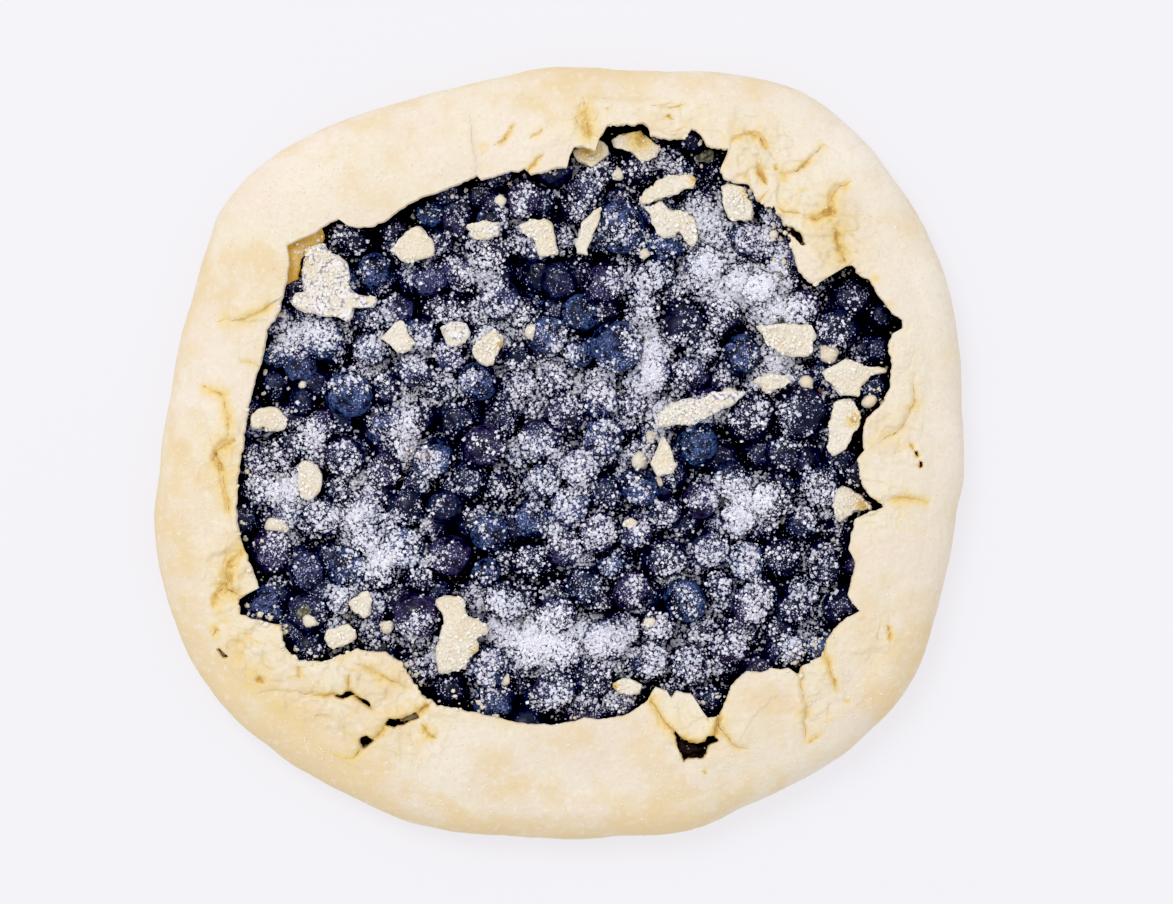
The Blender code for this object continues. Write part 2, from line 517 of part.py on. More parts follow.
def settle(x, y, width, rng):
    """Height of a berry's centre, low enough to clear the lip and every scrap."""
    tall = width * BERRY_FLATNESS / 2
    centre = core_height(x, y) + BERRY_PROUD * width - tall + rng.uniform(-BERRY_UNEVEN, BERRY_UNEVEN)
    bearing = math.atan2(y, x)
    fold = float(smooth_edge(FOLD_EDGE, np.array([bearing]))[0])
    inset = np.array([fold - math.hypot(x, y) - width / 2])
    limits = [(max(0.0, -float(outside_by(x, y, lip_points))),
               float(flap_height(inset, np.array([bearing]))[0]) - DOUGH)]
    for name in SCRAPS:
        away = max(0.0, float(outside_by(x, y, scrap_outline(name))))
        if away < width:
            limits.append((away, scrap_base(name)))
    for away, level in limits:
        while width_above(level - TOUCH_GAP, centre, width) + TOUCH_GAP > away:
            if level - TOUCH_GAP >= centre + tall:
                break
            centre -= 0.0002
    return centre


# A lump's rings from foot to top: share of its half width, and share of its half height.
BERRY_RINGS = [(0.55, -0.84), (1.0, -0.10), (0.86, 0.52), (0.42, 0.94)]
CRUMB_RINGS = [(0.80, -1.0), (1.0, 0.20), (0.62, 1.0)]
CRUMB_TALL = 0.55               # height of a crumb against its width


def many_sided_lump(name, width, height, ring_shares, sides):
    """A small lump with flat sides, closed by a flat foot and a flat top."""
    body = bmesh.new()
    layers = []
    for reach, level in ring_shares:
        radius = reach * width / 2
        turns = [2 * math.pi * i / sides for i in range(sides)]
        layers.append([
            body.verts.new((radius * math.cos(t), radius * math.sin(t), level * height / 2))
            for t in turns
        ])
    join_layers(body, layers)
    mesh = bpy.data.meshes.new(name)
    body.to_mesh(mesh)
    body.free()
    return mesh


def join_layers(body, layers):
    """Sides between each two layers of corners, a foot under the first and a top on the last."""
    for low, high in zip(layers, layers[1:]):
        for i in range(len(low)):
            after = (i + 1) % len(low)
            body.faces.new((low[i], low[after], high[after], high[i]))
    body.faces.new(list(reversed(layers[0])))
    body.faces.new(layers[-1])


def add_piece(mesh, place, turn, collection):
    piece = bpy.data.objects.new(mesh.name, mesh)
    piece.location = place
    piece.rotation_euler = (0, 0, turn)
    collection.objects.link(piece)


def heap_top(x, y, berries):
    """Height of the topmost berry at a place, or of the bare heap where there is none."""
    top = core_height(x, y)
    for bx, by, centre, width in berries:
        share = math.hypot(x - bx, y - by) / (width / 2)
        if share < 1:
            top = max(top, centre + width * BERRY_FLATNESS / 2 * math.sqrt(1 - share**2))
    return top


def build_filling(material):
    """The heap of berries: the bare heap with every berry and crumb that shows fused on."""
    filling = add_object("berry_filling", build_core(), material)
    loose = bpy.data.collections.new("loose pieces")
    bpy.context.scene.collection.children.link(loose)
    rng = random.Random(BERRY_SEED + 1)
    settled = []
    for x, y, width in spread_berries():
        centre = settle(x, y, width, rng)
        turn = rng.uniform(0, math.pi)
        tall = width * BERRY_FLATNESS / 2
        if centre + tall > core_height(x, y) + 0.001 and centre - tall > DOUGH + 0.001:
            settled.append((x, y, centre, width))
            add_piece(many_sided_lump("berry", width, width * BERRY_FLATNESS, BERRY_RINGS, 7),
                      (x, y, centre), turn, loose)
    for u, v, width in CRUMBS:
        x, y = from_view((u, v))
        tall = CRUMB_TALL * width * PIXEL
        place = (x, y, heap_top(x, y, settled) + 0.15 * tall)
        add_piece(many_sided_lump("crumb", width * PIXEL, tall, CRUMB_RINGS, 5),
                  place, rng.uniform(0, math.pi), loose)
    union = filling.modifiers.new("fuse", "BOOLEAN")
    union.operation = "UNION"
    union.operand_type = "COLLECTION"
    union.collection = loose
    union.solver = "EXACT"
    fuse_and_clear(filling, loose)
    filling.data.set_sharp_from_angle(angle=math.radians(50))
    thin_out = filling.modifiers.new("fewer faces", "DECIMATE")
    thin_out.ratio = FILLING_TRIANGLES / len(filling.data.polygons)
    return filling


def fuse_and_clear(target, collection):
    """Keep what the modifiers make of the target, and drop the pieces that went into it."""
    graph = bpy.context.evaluated_depsgraph_get()
    mesh = bpy.data.meshes.new_from_object(target.evaluated_get(graph))
    body = bmesh.new()
    body.from_mesh(mesh)
    bmesh.ops.triangulate(body, faces=body.faces[:])
    body.to_mesh(mesh)
    body.free()
    target.modifiers.clear()
    target.data = mesh
    for piece in list(collection.objects):
        bpy.data.objects.remove(piece)
    bpy.data.collections.remove(collection)


# ---------------------------------------------------------------- scraps of dough
def build_scrap(name, material):
    """A torn flake of dough: its outline drawn in a little at the foot and more at the top."""
    outline = scrap_outline(name)
    x = sum(p[0] for p in outline) / len(outline)
    y = sum(p[1] for p in outline) / len(outline)
    base = scrap_base(name)
    body = bmesh.new()
    layers = []
    for share, height in ((0.90, 0.0), (1.0, 0.45), (0.80, 1.0)):
        layer = []
        for px, py in outline:
            place = (x + share * (px - x), y + share * (py - y), base + height * SCRAP_THICKNESS)
            layer.append(body.verts.new(place))
        layers.append(layer)
    join_layers(body, layers)
    bmesh.ops.triangulate(body, faces=body.faces[:])
    bmesh.ops.recalc_face_normals(body, faces=body.faces[:])
    mesh = bpy.data.meshes.new(name)
    body.to_mesh(mesh)
    body.free()
    return add_object("scrap_" + name, mesh, material)


# ---------------------------------------------------------------- putting it together
def plain_material(name, colour, roughness):
    material = bpy.data.materials.new(name)
    material.use_nodes = True
    surface = material.node_tree.nodes["Principled BSDF"]
    surface.inputs["Base Color"].default_value = (*colour, 1.0)
    surface.inputs["Roughness"].default_value = roughness
    surface.inputs["Metallic"].default_value = 0.0
    material.diffuse_color = (*colour, 1.0)
    return material


def add_object(name, mesh, material):
    mesh.materials.clear()
    mesh.materials.append(material)
    thing = bpy.data.objects.new(name, mesh)
    bpy.context.scene.collection.objects.link(thing)
    return thing


for old in list(bpy.data.objects):
    bpy.data.objects.remove(old)

raw_dough = plain_material("raw dough", (0.87, 0.75, 0.58), 0.60)
blueberry = plain_material("blueberry", (0.045, 0.06, 0.14), 0.45)
dough_scrap = plain_material("dough scrap", (0.84, 0.77, 0.64), 0.55)

build_crust(raw_dough)
build_filling(blueberry)
for scrap in SCRAPS:
    build_scrap(scrap, dough_scrap)
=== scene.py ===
"""The looks of a raw blueberry galette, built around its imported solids.

A round of shortcrust is folded inwards over a heap of blueberries, which are thick with
granulated sugar and have torn scraps of dough lying on them. Lengths are in metres, and the
places that come from the view from above are pixels of a picture 1173 x 904 pixels large.
"""
import itertools
import math
import random

import bmesh
import bpy
import numpy as np
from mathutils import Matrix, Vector
from mathutils.bvhtree import BVHTree


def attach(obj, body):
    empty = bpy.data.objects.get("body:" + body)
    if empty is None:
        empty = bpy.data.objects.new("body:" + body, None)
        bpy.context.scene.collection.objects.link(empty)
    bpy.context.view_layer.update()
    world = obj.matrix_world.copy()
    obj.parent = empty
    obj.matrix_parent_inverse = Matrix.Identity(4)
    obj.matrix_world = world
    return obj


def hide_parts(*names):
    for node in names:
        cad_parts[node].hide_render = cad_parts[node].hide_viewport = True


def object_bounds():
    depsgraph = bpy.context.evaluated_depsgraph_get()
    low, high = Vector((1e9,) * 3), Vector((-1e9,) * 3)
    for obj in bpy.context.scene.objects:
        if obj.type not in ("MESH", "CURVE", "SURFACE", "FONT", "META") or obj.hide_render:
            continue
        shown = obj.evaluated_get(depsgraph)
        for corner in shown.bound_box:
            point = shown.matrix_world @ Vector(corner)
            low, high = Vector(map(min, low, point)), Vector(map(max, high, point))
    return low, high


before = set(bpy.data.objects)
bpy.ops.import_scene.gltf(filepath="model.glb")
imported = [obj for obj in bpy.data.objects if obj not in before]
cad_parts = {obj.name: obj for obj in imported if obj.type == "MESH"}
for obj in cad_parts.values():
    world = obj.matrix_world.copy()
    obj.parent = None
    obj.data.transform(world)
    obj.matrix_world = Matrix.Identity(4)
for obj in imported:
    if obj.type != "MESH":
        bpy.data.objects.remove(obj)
cad_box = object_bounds()


# ------------------------------------------------------------------ camera, ground and light
# The galette lies on a plain white ground and is seen from straight above with a long lens.
# A broad soft light stands to the upper left, so shadows fall a little to the lower right.
VIEW_SIZE = (1173, 904)
GALETTE_PIXELS = 808.0  # how wide the galette is in the view
GALETTE_MIDDLE = (559.0, 453.0)
PIXEL = (cad_box[1].x - cad_box[0].x) / GALETTE_PIXELS
FOLD_MID_HEIGHT = 0.0085  # height of the widest part of the outer fold
CAMERA_HEIGHT = 2.2
SENSOR = 0.036
SHOWN_AS_BLACK = (0.011, 0.011, 0.01)
GROUND_REACH = 3.0
GROUND_LEVEL = -0.0002
GROUND_GLOW = (0.966, 0.954, 1.0, 1.0)
GROUND_GLOW_STRENGTH = 0.686
ROOM_COLOUR = (0.975, 0.98, 1.0, 1.0)
ROOM_STRENGTH = 0.85
WINDOW_PLACE = (-1.55, 1.85, 3.9)
WINDOW_SIZE = 2.0
WINDOW_POWER = 63.5


def from_view(pixel):
    """X and Y in metres of a pixel of the view."""
    return ((pixel[0] - GALETTE_MIDDLE[0]) * PIXEL, (GALETTE_MIDDLE[1] - pixel[1]) * PIXEL)


def add_object(name, data):
    """An object in the scene, of a mesh, a camera or a light."""
    made = bpy.data.objects.new(name, data)
    bpy.context.scene.collection.objects.link(made)
    return made


camera_data = bpy.data.cameras.new("camera")
camera_data.sensor_width = SENSOR * 1000
seen_width = VIEW_SIZE[0] * PIXEL
camera_data.lens = 1000 * SENSOR * (CAMERA_HEIGHT - FOLD_MID_HEIGHT) / seen_width
camera_data.clip_start = 0.01
camera_data.clip_end = 20.0
camera = add_object("camera", camera_data)
camera.location = (*from_view((VIEW_SIZE[0] / 2, VIEW_SIZE[1] / 2)), CAMERA_HEIGHT)
bpy.context.scene.camera = camera
picture = bpy.context.scene.view_settings
picture.view_transform = "Standard"
picture.use_curve_mapping = True
picture.curve_mapping.black_level = SHOWN_AS_BLACK
picture.curve_mapping.update()


def feed(tree, node, feeds):
    """Sets a node's inputs to values, or links them to other nodes' outputs."""
    for socket, value in feeds.items():
        if isinstance(value, bpy.types.NodeSocket):
            tree.links.new(value, node.inputs[socket])
        else:
            node.inputs[socket].default_value = value


def add_node(tree, kind, feeds=None, **settings):
    """A shader node with its settings and what feeds its inputs."""
    made = tree.nodes.new("ShaderNode" + kind)
    for name, value in settings.items():
        setattr(made, name, value)
    feed(tree, made, feeds or {})
    return made


def blend(tree, share, first, second):
    """Output of a node that goes from the first colour to the second."""
    feeds = {0: share}
    for socket, colour in ((6, first), (7, second)):
        feeds[socket] = colour if isinstance(colour, bpy.types.NodeSocket) else (*colour, 1.0)
    return add_node(tree, "Mix", feeds, data_type="RGBA").outputs[2]


def mottle(tree, place, across, detail=2.0):
    """Output of a noise whose blotches are about that many metres across."""
    feeds = {"Vector": place, "Scale": 1 / across, "Detail": detail}
    return add_node(tree, "TexNoise", feeds).outputs[0]


def new_material(name):
    """A material, its node tree, its Principled BSDF and its place output."""
    material = bpy.data.materials.new(name)
    material.use_nodes = True
    tree = material.node_tree
    place = add_node(tree, "TexCoord").outputs["Object"]
    return material, tree, tree.nodes["Principled BSDF"], place


def ground_paper():
    """White paper, a little uneven in tone, that glows with painted light so that shadows on it are
    faint.
    """
    material, tree, surface, place = new_material("white ground")
    tone = mottle(tree, place, 0.16)
    feed(tree, surface, {
        "Base Color": blend(tree, tone, (0.215, 0.215, 0.22), (0.229, 0.229, 0.234)),
        "Emission Color": GROUND_GLOW, "Emission Strength": GROUND_GLOW_STRENGTH,
        "Roughness": 0.8, "Specular IOR Level": 0.2})
    return material


def make_mesh(name, points, faces):
    mesh = bpy.data.meshes.new(name)
    mesh.from_pydata(np.asarray(points).tolist(), [], faces)
    mesh.update()
    return mesh


ground_corners = ((-1, -1), (1, -1), (1, 1), (-1, 1))
ground_mesh = make_mesh(
    "ground", [(x * GROUND_REACH, y * GROUND_REACH, GROUND_LEVEL) for x, y in ground_corners],
    [(0, 1, 2, 3)])
ground_mesh.materials.append(ground_paper())
ground = add_object("ground", ground_mesh)

room = bpy.data.worlds.new("room")
bpy.context.scene.world = room
room.use_nodes = True
feed(room.node_tree, room.node_tree.nodes["Background"],
     {"Color": ROOM_COLOUR, "Strength": ROOM_STRENGTH})
window_light = bpy.data.lights.new("window", "AREA")
window_light.size = WINDOW_SIZE
window_light.energy = WINDOW_POWER
window = add_object("window", window_light)
window.location = WINDOW_PLACE
window.rotation_euler = (-Vector(WINDOW_PLACE)).to_track_quat("-Z", "Y").to_euler()


# ------------------------------------------------------------------ the folded dough
# One round of rolled shortcrust, flour, butter and water, lying on the ground and folded
# inwards in overlapping flaps. Where a flap laps or bends it shows creases, cracks and torn
# crumbly edges, and the creases, cracks and hollows get a painted ochre shade.
DOUGH = 0.004  # rolled thickness
LIP_HEIGHT = 0.0245  # top of the flaps at the opening
FOLD_FOOT = 0.007  # how far the fold draws in below its widest part
FOOT_TURNS = (-78, -64, -50, -36, -22, -8)
FOLD_SHOULDER = 0.014  # how far it draws in above
FOLD_SHOULDER_RISE = 0.0125
SHOULDER_RINGS = 22
BAND_START = 0.0104  # in from the outer edge, where the shoulder meets the flap
FLAP_CURVE = 2.1  # how soon a flap levels out on its way to the lip
LIP_ROUND = 0.0006  # how far the flap's top ends short of the torn lip
FLAP_SPREAD = math.radians(14.0)
CRACK_REACH = 0.0009  # how far from a crack its marks are kept
FADE_SHARE = 0.3  # share of a crease over which its end dies away
LAP_EDGE = 0.45  # how soft a lapped edge is, in widths of the crease
CREASE_HALO = 3.0  # how far the painted ochre shade spreads, in widths of the crease
CRACK_HALO = 2.5  # and of a crack
BROAD_PLATES = 0.0048  # crumbly dough breaks into plates about this wide
SMALL_PLATES = 0.0022
PLATE_RISE = (0.00005, 0.00056)  # of the plates in smooth dough, and what crumbly dough adds
CRUMB_RISE = (0.00005, 0.00014)  # of the finest crumb
CHINK_DEPTH = 0.0007  # of the chinks in crumbly dough
MOST_RELIEF = 0.0026
RAGGED_TEAR = 0.00035  # how ragged a torn hole's edge is
TORN_DEPTH = 0.0052  # how far the sheet sinks in a torn hole
CRUST_COLUMNS = 1680
FLAP_RINGS = 96
UNDER_RINGS = 24
EVEN_SHARE = 0.7  # share of the flap's rings that keep clear of the torn lip
EVEN_MARGIN = 0.0012  # by how much
EVEN_COLUMNS = 20  # over how many columns each way they even the lip out
# Rings down the torn lip: how far down, and how far back.
LIP_SIDE = ((0.08, 0.0003), (0.2, 0.00005), (0.42, 0.0), (0.65, 0.0001), (0.85, 0.0004))
# Layers of random bumps: height, width and seed.
STRAY_X = [(0.0006, 0.003, 1), (0.0003, 0.0011, 2)]  # how far marks stray from their routes
STRAY_Y = [(0.0006, 0.003, 3), (0.0003, 0.0011, 4)]
SWELLS = [(0.0013, 0.03, 5), (0.0006, 0.012, 6)]
LIP_ROUGHNESS = [(0.0006, 0.0026, 20), (0.0005, 0.0011, 21)]
EDGE_LUMPS = [(0.0006, 0.014, 22)]
SHOULDER_UNEVENNESS = [(0.0003, 0.008, 24), (0.00008, 0.0016, 25)]
# Colours of the dough.
PALE_DOUGH = (0.83, 0.738, 0.59)
PEACH_DOUGH = (0.825, 0.71, 0.58)
WARM_DOUGH = (0.8, 0.63, 0.375)
# Pale dough for flour and painted light.
FLOURED_AND_LIT_DOUGH = (0.88, 0.8, 0.7)
CRUMBLY_DOUGH = (0.85, 0.755, 0.57)
GRAIN_SHADE = (0.79, 0.62, 0.37)
FLOUR_WHITE = (0.92, 0.86, 0.76)
# Painted ochre shade, light and deep, for creases, cracks and hollows.
LIGHT_OCHRE = (0.84, 0.63, 0.25)
DEEP_OCHRES = ((0.7, 0.45, 0.11), (0.5, 0.28, 0.05))
# Dark brown painted shade lines in the cracks.
CRACK_SHADE_BROWNS = ((0.74, 0.49, 0.15), (0.34, 0.18, 0.04))
# Near-black painted shade at the bottom of the torn holes.
SHADE_SEEN_IN_TEARS = ((0.003, 0.002, 0.005), (0.024, 0.014, 0.009))

# Outer edge of the fold, clockwise from the top, in pixels of the view.
FOLD_EDGE = [
    (560, 68), (650, 71), (735, 74), (800, 92), (864, 142), (904, 194), (938, 258), (956, 325),
    (962, 405), (963, 445), (956, 522), (940, 595), (916, 672), (875, 728), (815, 774), (752, 804),
    (685, 831), (620, 837), (500, 836), (430, 827), (350, 796), (250, 731), (205, 682), (172, 612),
    (155, 520), (162, 450), (170, 395), (182, 330), (200, 275), (222, 210), (250, 176), (320, 131),
    (400, 102), (480, 82),
]

# Torn lip of the flaps round the opening, clockwise from the upper left, in pixels.
LIP_EDGE = [
    (290, 247), (311, 238), (341, 221), (350, 228), (362, 230), (377, 228), (388, 222), (424, 199),
    (440, 195), (474, 181), (478, 178), (482, 183), (512, 174), (519, 175), (525, 171), (531, 177),
    (545, 175), (557, 170), (567, 171), (570, 157), (574, 151), (582, 150), (595, 154), (599, 141),
    (604, 135), (607, 128), (616, 129), (626, 126), (634, 129), (642, 126), (647, 130), (650, 138),
    (676, 143), (684, 141), (690, 133), (695, 133), (706, 147), (716, 152), (728, 151), (719, 172),
    (723, 182), (745, 186), (752, 193), (757, 203), (764, 209), (771, 209), (785, 231), (788, 240),
    (790, 253), (796, 273), (809, 285), (814, 286), (845, 267), (852, 268), (858, 277), (868, 283),
    (873, 293), (890, 315), (901, 321), (899, 330), (889, 335), (886, 346), (889, 356), (888, 388),
    (880, 405), (871, 412), (863, 420), (861, 436), (862, 450), (855, 458), (857, 476), (863, 492),
    (872, 499), (883, 507), (870, 510), (854, 517), (849, 533), (847, 548), (854, 562), (845, 594),
    (851, 603), (858, 610), (845, 616), (832, 627), (819, 654), (801, 664), (797, 673), (788, 667),
    (770, 667), (760, 671), (746, 669), (735, 677), (730, 684), (718, 713), (706, 715), (701, 708),
    (691, 692), (676, 689), (670, 696), (666, 688), (655, 685), (646, 700), (628, 712), (606, 717),
    (585, 716), (560, 722), (520, 721), (500, 716), (460, 706), (440, 703), (420, 688), (402, 660),
    (388, 650), (358, 648), (338, 655), (322, 661), (310, 659), (300, 659), (288, 648), (282, 625),
    (243, 613), (241, 598), (262, 587), (240, 522), (247, 440), (263, 366), (268, 348), (269, 330),
    (277, 322), (283, 308), (289, 285), (292, 266),
]

# A crease runs along a route (pixels). Where one flap laps over another its left side, seen
# along the route, stands higher by a rise (lower if negative), which fades over a reach. Then
# come the depth and the width of its groove, which ends of the route die away, and how much
# painted ochre shade and dark painted crack line it gets.
CREASES = [
    ([(462, 88), (470, 118), (476, 160), (479, 183)], -0.0012, 0.03, 0.0, 0.0016, "start", 0.1),
    ([(571, 114), (582, 131), (597, 140)], -0.0014, 0.012, 0.0006, 0.0012, "start", 0.35),
    ([(582, 96), (585, 115), (589, 137)], 0.0016, 0.012, 0.0014, 0.0015, "start", 0.75),
    ([(728, 150), (735, 140), (745, 136), (757, 137), (765, 150)],
     -0.0009, 0.01, 0.0014, 0.0008, "start", 0.7),
    ([(757, 158), (757, 172), (765, 186)], 0.0, 0.01, 0.0012, 0.0007, "both", 0.4),
    ([(772, 168), (785, 176), (797, 171), (818, 152), (836, 132)],
     0.001, 0.016, 0.0012, 0.0009, "both", 0.6),
    ([(800, 216), (816, 222), (829, 214), (829, 200), (836, 190), (850, 182)],
     -0.0014, 0.014, 0.0022, 0.0012, "both", 1.0),
    ([(829, 222), (836, 233), (836, 243), (843, 262)], 0.0, 0.01, 0.0015, 0.0012, "start", 0.8),
    ([(911, 372), (912, 402), (907, 414), (899, 427), (891, 435), (874, 445)],
     -0.0011, 0.012, 0.0009, 0.0012, "both", 0.6),
    ([(884, 501), (905, 498), (915, 498), (932, 502)], 0.0006, 0.01, 0.0012, 0.001, "both", 0.75),
    ([(819, 644), (829, 667), (836, 694)], 0.0, 0.01, 0.0016, 0.0009, "end", 0.5),
    ([(800, 666), (801, 690), (804, 706), (803, 722), (806, 742)],
     -0.001, 0.012, 0.0012, 0.0009, "none", 0.35),
    ([(719, 712), (718, 725), (735, 745), (750, 747)], 0.001, 0.012, 0.0012, 0.001, "end", 0.5),
    ([(652, 702), (660, 716), (685, 738), (698, 742), (712, 735), (718, 716)],
     0.0019, 0.014, 0.001, 0.0012, "none", 0.9),
    ([(256, 693), (280, 688), (310, 691)], 0.0007, 0.012, 0.0005, 0.0008, "both", 0.2),
    ([(302, 691), (322, 692), (345, 694), (352, 690), (374, 708)],
     0.001, 0.014, 0.0018, 0.0008, "both", 0.6),
    ([(355, 661), (385, 675), (414, 687)], 0.0008, 0.01, 0.0012, 0.0009, "both", 0.6),
    ([(328, 746), (340, 757), (352, 757), (390, 722), (420, 712), (428, 704)],
     0.0012, 0.012, 0.0018, 0.001, "start", 0.6),
    ([(205, 668), (218, 654), (228, 660)], 0.0, 0.01, 0.002, 0.001, "both", 0.8),
    ([(242, 551), (233, 556), (230, 568), (230, 580), (227, 588), (239, 594)],
     0.0012, 0.01, 0.002, 0.002, "none", 0.95),
    ([(216, 610), (217, 596), (227, 588)], 0.0, 0.01, 0.0014, 0.001, "start", 0.9),
    ([(214, 462), (220, 452), (227, 444), (236, 440)], 0.0, 0.01, 0.0018, 0.0015, "both", 0.9),
    ([(219, 456), (224, 472), (229, 492), (232, 510)], 0.001, 0.01, 0.0016, 0.0013, "none", 0.75),
    ([(218, 322), (245, 321), (262, 313), (273, 306)], 0.0012, 0.016, 0.0007, 0.0013, "start", 0.55),
    ([(528, 173), (536, 166), (545, 153)], 0.0, 0.01, 0.0011, 0.0008, "end", 0.55),
]

# Cracks in the surface only: route in pixels, width and depth in metres, and how much painted ochre shade
# and dark painted crack line each gets.
CRACKS = [
    ([(465, 93), (459, 100), (453, 110)], 0.001, 0.0005, 0.55),
    ([(650, 108), (668, 109), (690, 105)], 0.0005, 0.0006, 0.35),
    ([(660, 121), (668, 120), (674, 123)], 0.0005, 0.0008, 0.5),
    ([(756, 169), (758, 176), (762, 182), (767, 187)], 0.0006, 0.0012, 0.85),
    ([(833, 252), (840, 253)], 0.0006, 0.0008, 0.8),
    ([(865, 180), (880, 181), (895, 178)], 0.001, 0.0005, 0.3),
    ([(907, 441), (909, 446), (912, 451)], 0.0005, 0.0008, 0.8),
    ([(884, 622), (889, 632), (888, 643)], 0.0006, 0.001, 0.7),
    ([(892, 670), (890, 700), (872, 722)], 0.0016, 0.0005, 0.15),
    ([(804, 744), (814, 740), (829, 740)], 0.001, 0.0013, 1.0),
    ([(700, 768), (708, 772)], 0.0006, 0.0008, 0.5),
    ([(258, 675), (268, 681)], 0.001, 0.001, 0.8),
    ([(300, 664), (302, 678)], 0.0007, 0.001, 0.5),
    ([(349, 692), (352, 672)], 0.0006, 0.001, 0.6),
    ([(421, 720), (429, 733), (440, 737)], 0.0008, 0.0012, 0.8),
    ([(216, 646), (228, 658)], 0.0007, 0.0014, 0.8),
    ([(214, 634), (218, 627), (222, 629)], 0.0008, 0.001, 0.7),
    ([(200, 378), (209, 390), (224, 394), (229, 410), (232, 428), (228, 445)], 0.001, 0.0006, 0.7),
    ([(240, 358), (252, 364), (264, 368)], 0.0006, 0.0006, 0.4),
    ([(530, 141), (545, 130)], 0.0006, 0.0006, 0.4),
    ([(494, 148), (503, 143), (506, 138), (511, 131), (518, 125)], 0.0005, 0.0011, 0.55),
    ([(590, 104), (583, 118), (587, 138)], 0.0007, 0.0006, 0.7),
    ([(706, 98), (722, 96), (738, 101)], 0.0006, 0.0003, 0.25),
    ([(742, 212), (756, 205), (768, 190)], 0.0006, 0.0006, 0.4),
    ([(772, 205), (784, 214), (800, 216)], 0.0006, 0.0005, 0.5),
]

# Holes torn in the flaps, as outlines in pixels. The sheet sinks into a pit there, painted near black as
# painted shade of the fruit below.
TEARS = [
    [(674, 729), (681, 736), (689, 741), (697, 742), (704, 740), (707, 734), (713, 734), (718, 739),
     (707, 744), (705, 751), (703, 756), (688, 756), (683, 760), (680, 752), (677, 745)],
    [(387, 721), (390, 717), (404, 717), (417, 711), (420, 716), (412, 719), (405, 723), (395, 725),
     (388, 724)],
    [(336, 694), (343, 693), (347, 690), (352, 690), (356, 693), (344, 697)],
    [(357, 694), (364, 697), (371, 701), (374, 709), (366, 702)],
    [(362, 736), (367, 733), (375, 739), (370, 743), (365, 746), (361, 741)],
    [(781, 227), (790, 229), (799, 235), (804, 246), (800, 246), (794, 239), (786, 234)],
    [(217, 648), (222, 648), (226, 652), (231, 656), (224, 656), (219, 652)],
    [(913, 452), (915, 452), (916, 456), (914, 455)], [(918, 462), (920, 462), (920, 466), (918, 467)],
]
TEAR_SLOPE = 0.0003  # how far a hole's side slopes out

# Ledge of the layer below that shows in the upper left corner, as an outline in pixels.
LEDGE = [
    (284, 243), (296, 236), (312, 230), (324, 225), (323, 243), (320, 247), (309, 249), (308, 254),
    (302, 260), (300, 270), (298, 278), (286, 284), (282, 262),
]

# Round places in the dough: across, down and radius in pixels, and how much or how deep.
# Pits, short crumbly dough, warmer and yellower stretches, paler places of flour and painted light, and
# spots of painted ochre shade.
PITS = [
    (680, 142, 3, 0.0008), (915, 455, 3, 0.001), (919, 465, 3, 0.001), (875, 503, 4, 0.0012),
    (668, 120, 3, 0.0008), (207, 388, 3, 0.0006), (263, 678, 4, 0.001), (236, 440, 3, 0.0008),
    (829, 222, 3, 0.001), (737, 96, 2, 0.0005), (752, 138, 4, 0.0012), (774, 170, 3, 0.0008),
    (802, 168, 2, 0.0006), (608, 110, 2, 0.0006), (846, 700, 3, 0.0006),
]
CRUMBLY_PLACES = [
    (745, 160, 48, 1.0), (785, 205, 50, 1.0), (832, 245, 42, 0.9), (890, 430, 36, 0.7),
    (868, 505, 32, 0.9), (878, 640, 34, 0.6), (815, 655, 34, 0.7), (816, 706, 24, 0.9),
    (690, 730, 34, 0.7), (400, 705, 52, 0.9), (330, 680, 52, 1.0), (255, 640, 46, 1.0),
    (228, 565, 36, 0.9), (225, 450, 36, 0.6), (255, 330, 30, 0.5), (590, 118, 30, 0.7),
    (665, 118, 42, 0.6), (545, 150, 36, 0.35), (745, 690, 34, 0.2), (360, 740, 30, 0.6),
    (890, 350, 30, 0.5),
]
WARM_PLACES = [
    (200, 480, 60, 0.35), (235, 690, 75, 1.0), (290, 720, 60, 1.1), (350, 780, 80, 0.9),
    (770, 705, 50, 0.15), (830, 225, 50, 0.8), (265, 270, 40, 0.5), (540, 105, 50, 0.5),
    (910, 420, 50, 0.1), (600, 800, 60, 0.1), (440, 125, 50, 0.1), (583, 112, 16, 0.7),
    (380, 690, 50, 0.8), (175, 560, 60, 0.35), (700, 110, 40, 0.4), (215, 310, 40, 0.6),
    (560, 864, 48, 2.0), (680, 790, 50, 0.4), (890, 690, 30, 0.5), (470, 850, 60, 1.2),
    (250, 640, 40, 0.8), (870, 260, 40, 0.1), (190, 640, 40, 0.9), (235, 772, 50, 1.2),
    (660, 850, 50, 1.0),
]
# Paler places: flour, and painted light where the fold turns away from the light on the right.
FLOUR_AND_LIGHT_PLACES = [
    (860, 150, 70, 1.0), (930, 290, 60, 0.8), (955, 430, 60, 0.8), (940, 570, 60, 0.25),
    (515, 150, 40, 0.6), (575, 798, 30, 0.4), (300, 150, 60, 0.6), (700, 95, 60, 0.2),
    (200, 380, 40, 0.5), (440, 750, 50, 0.4), (430, 140, 40, 0.3),
]
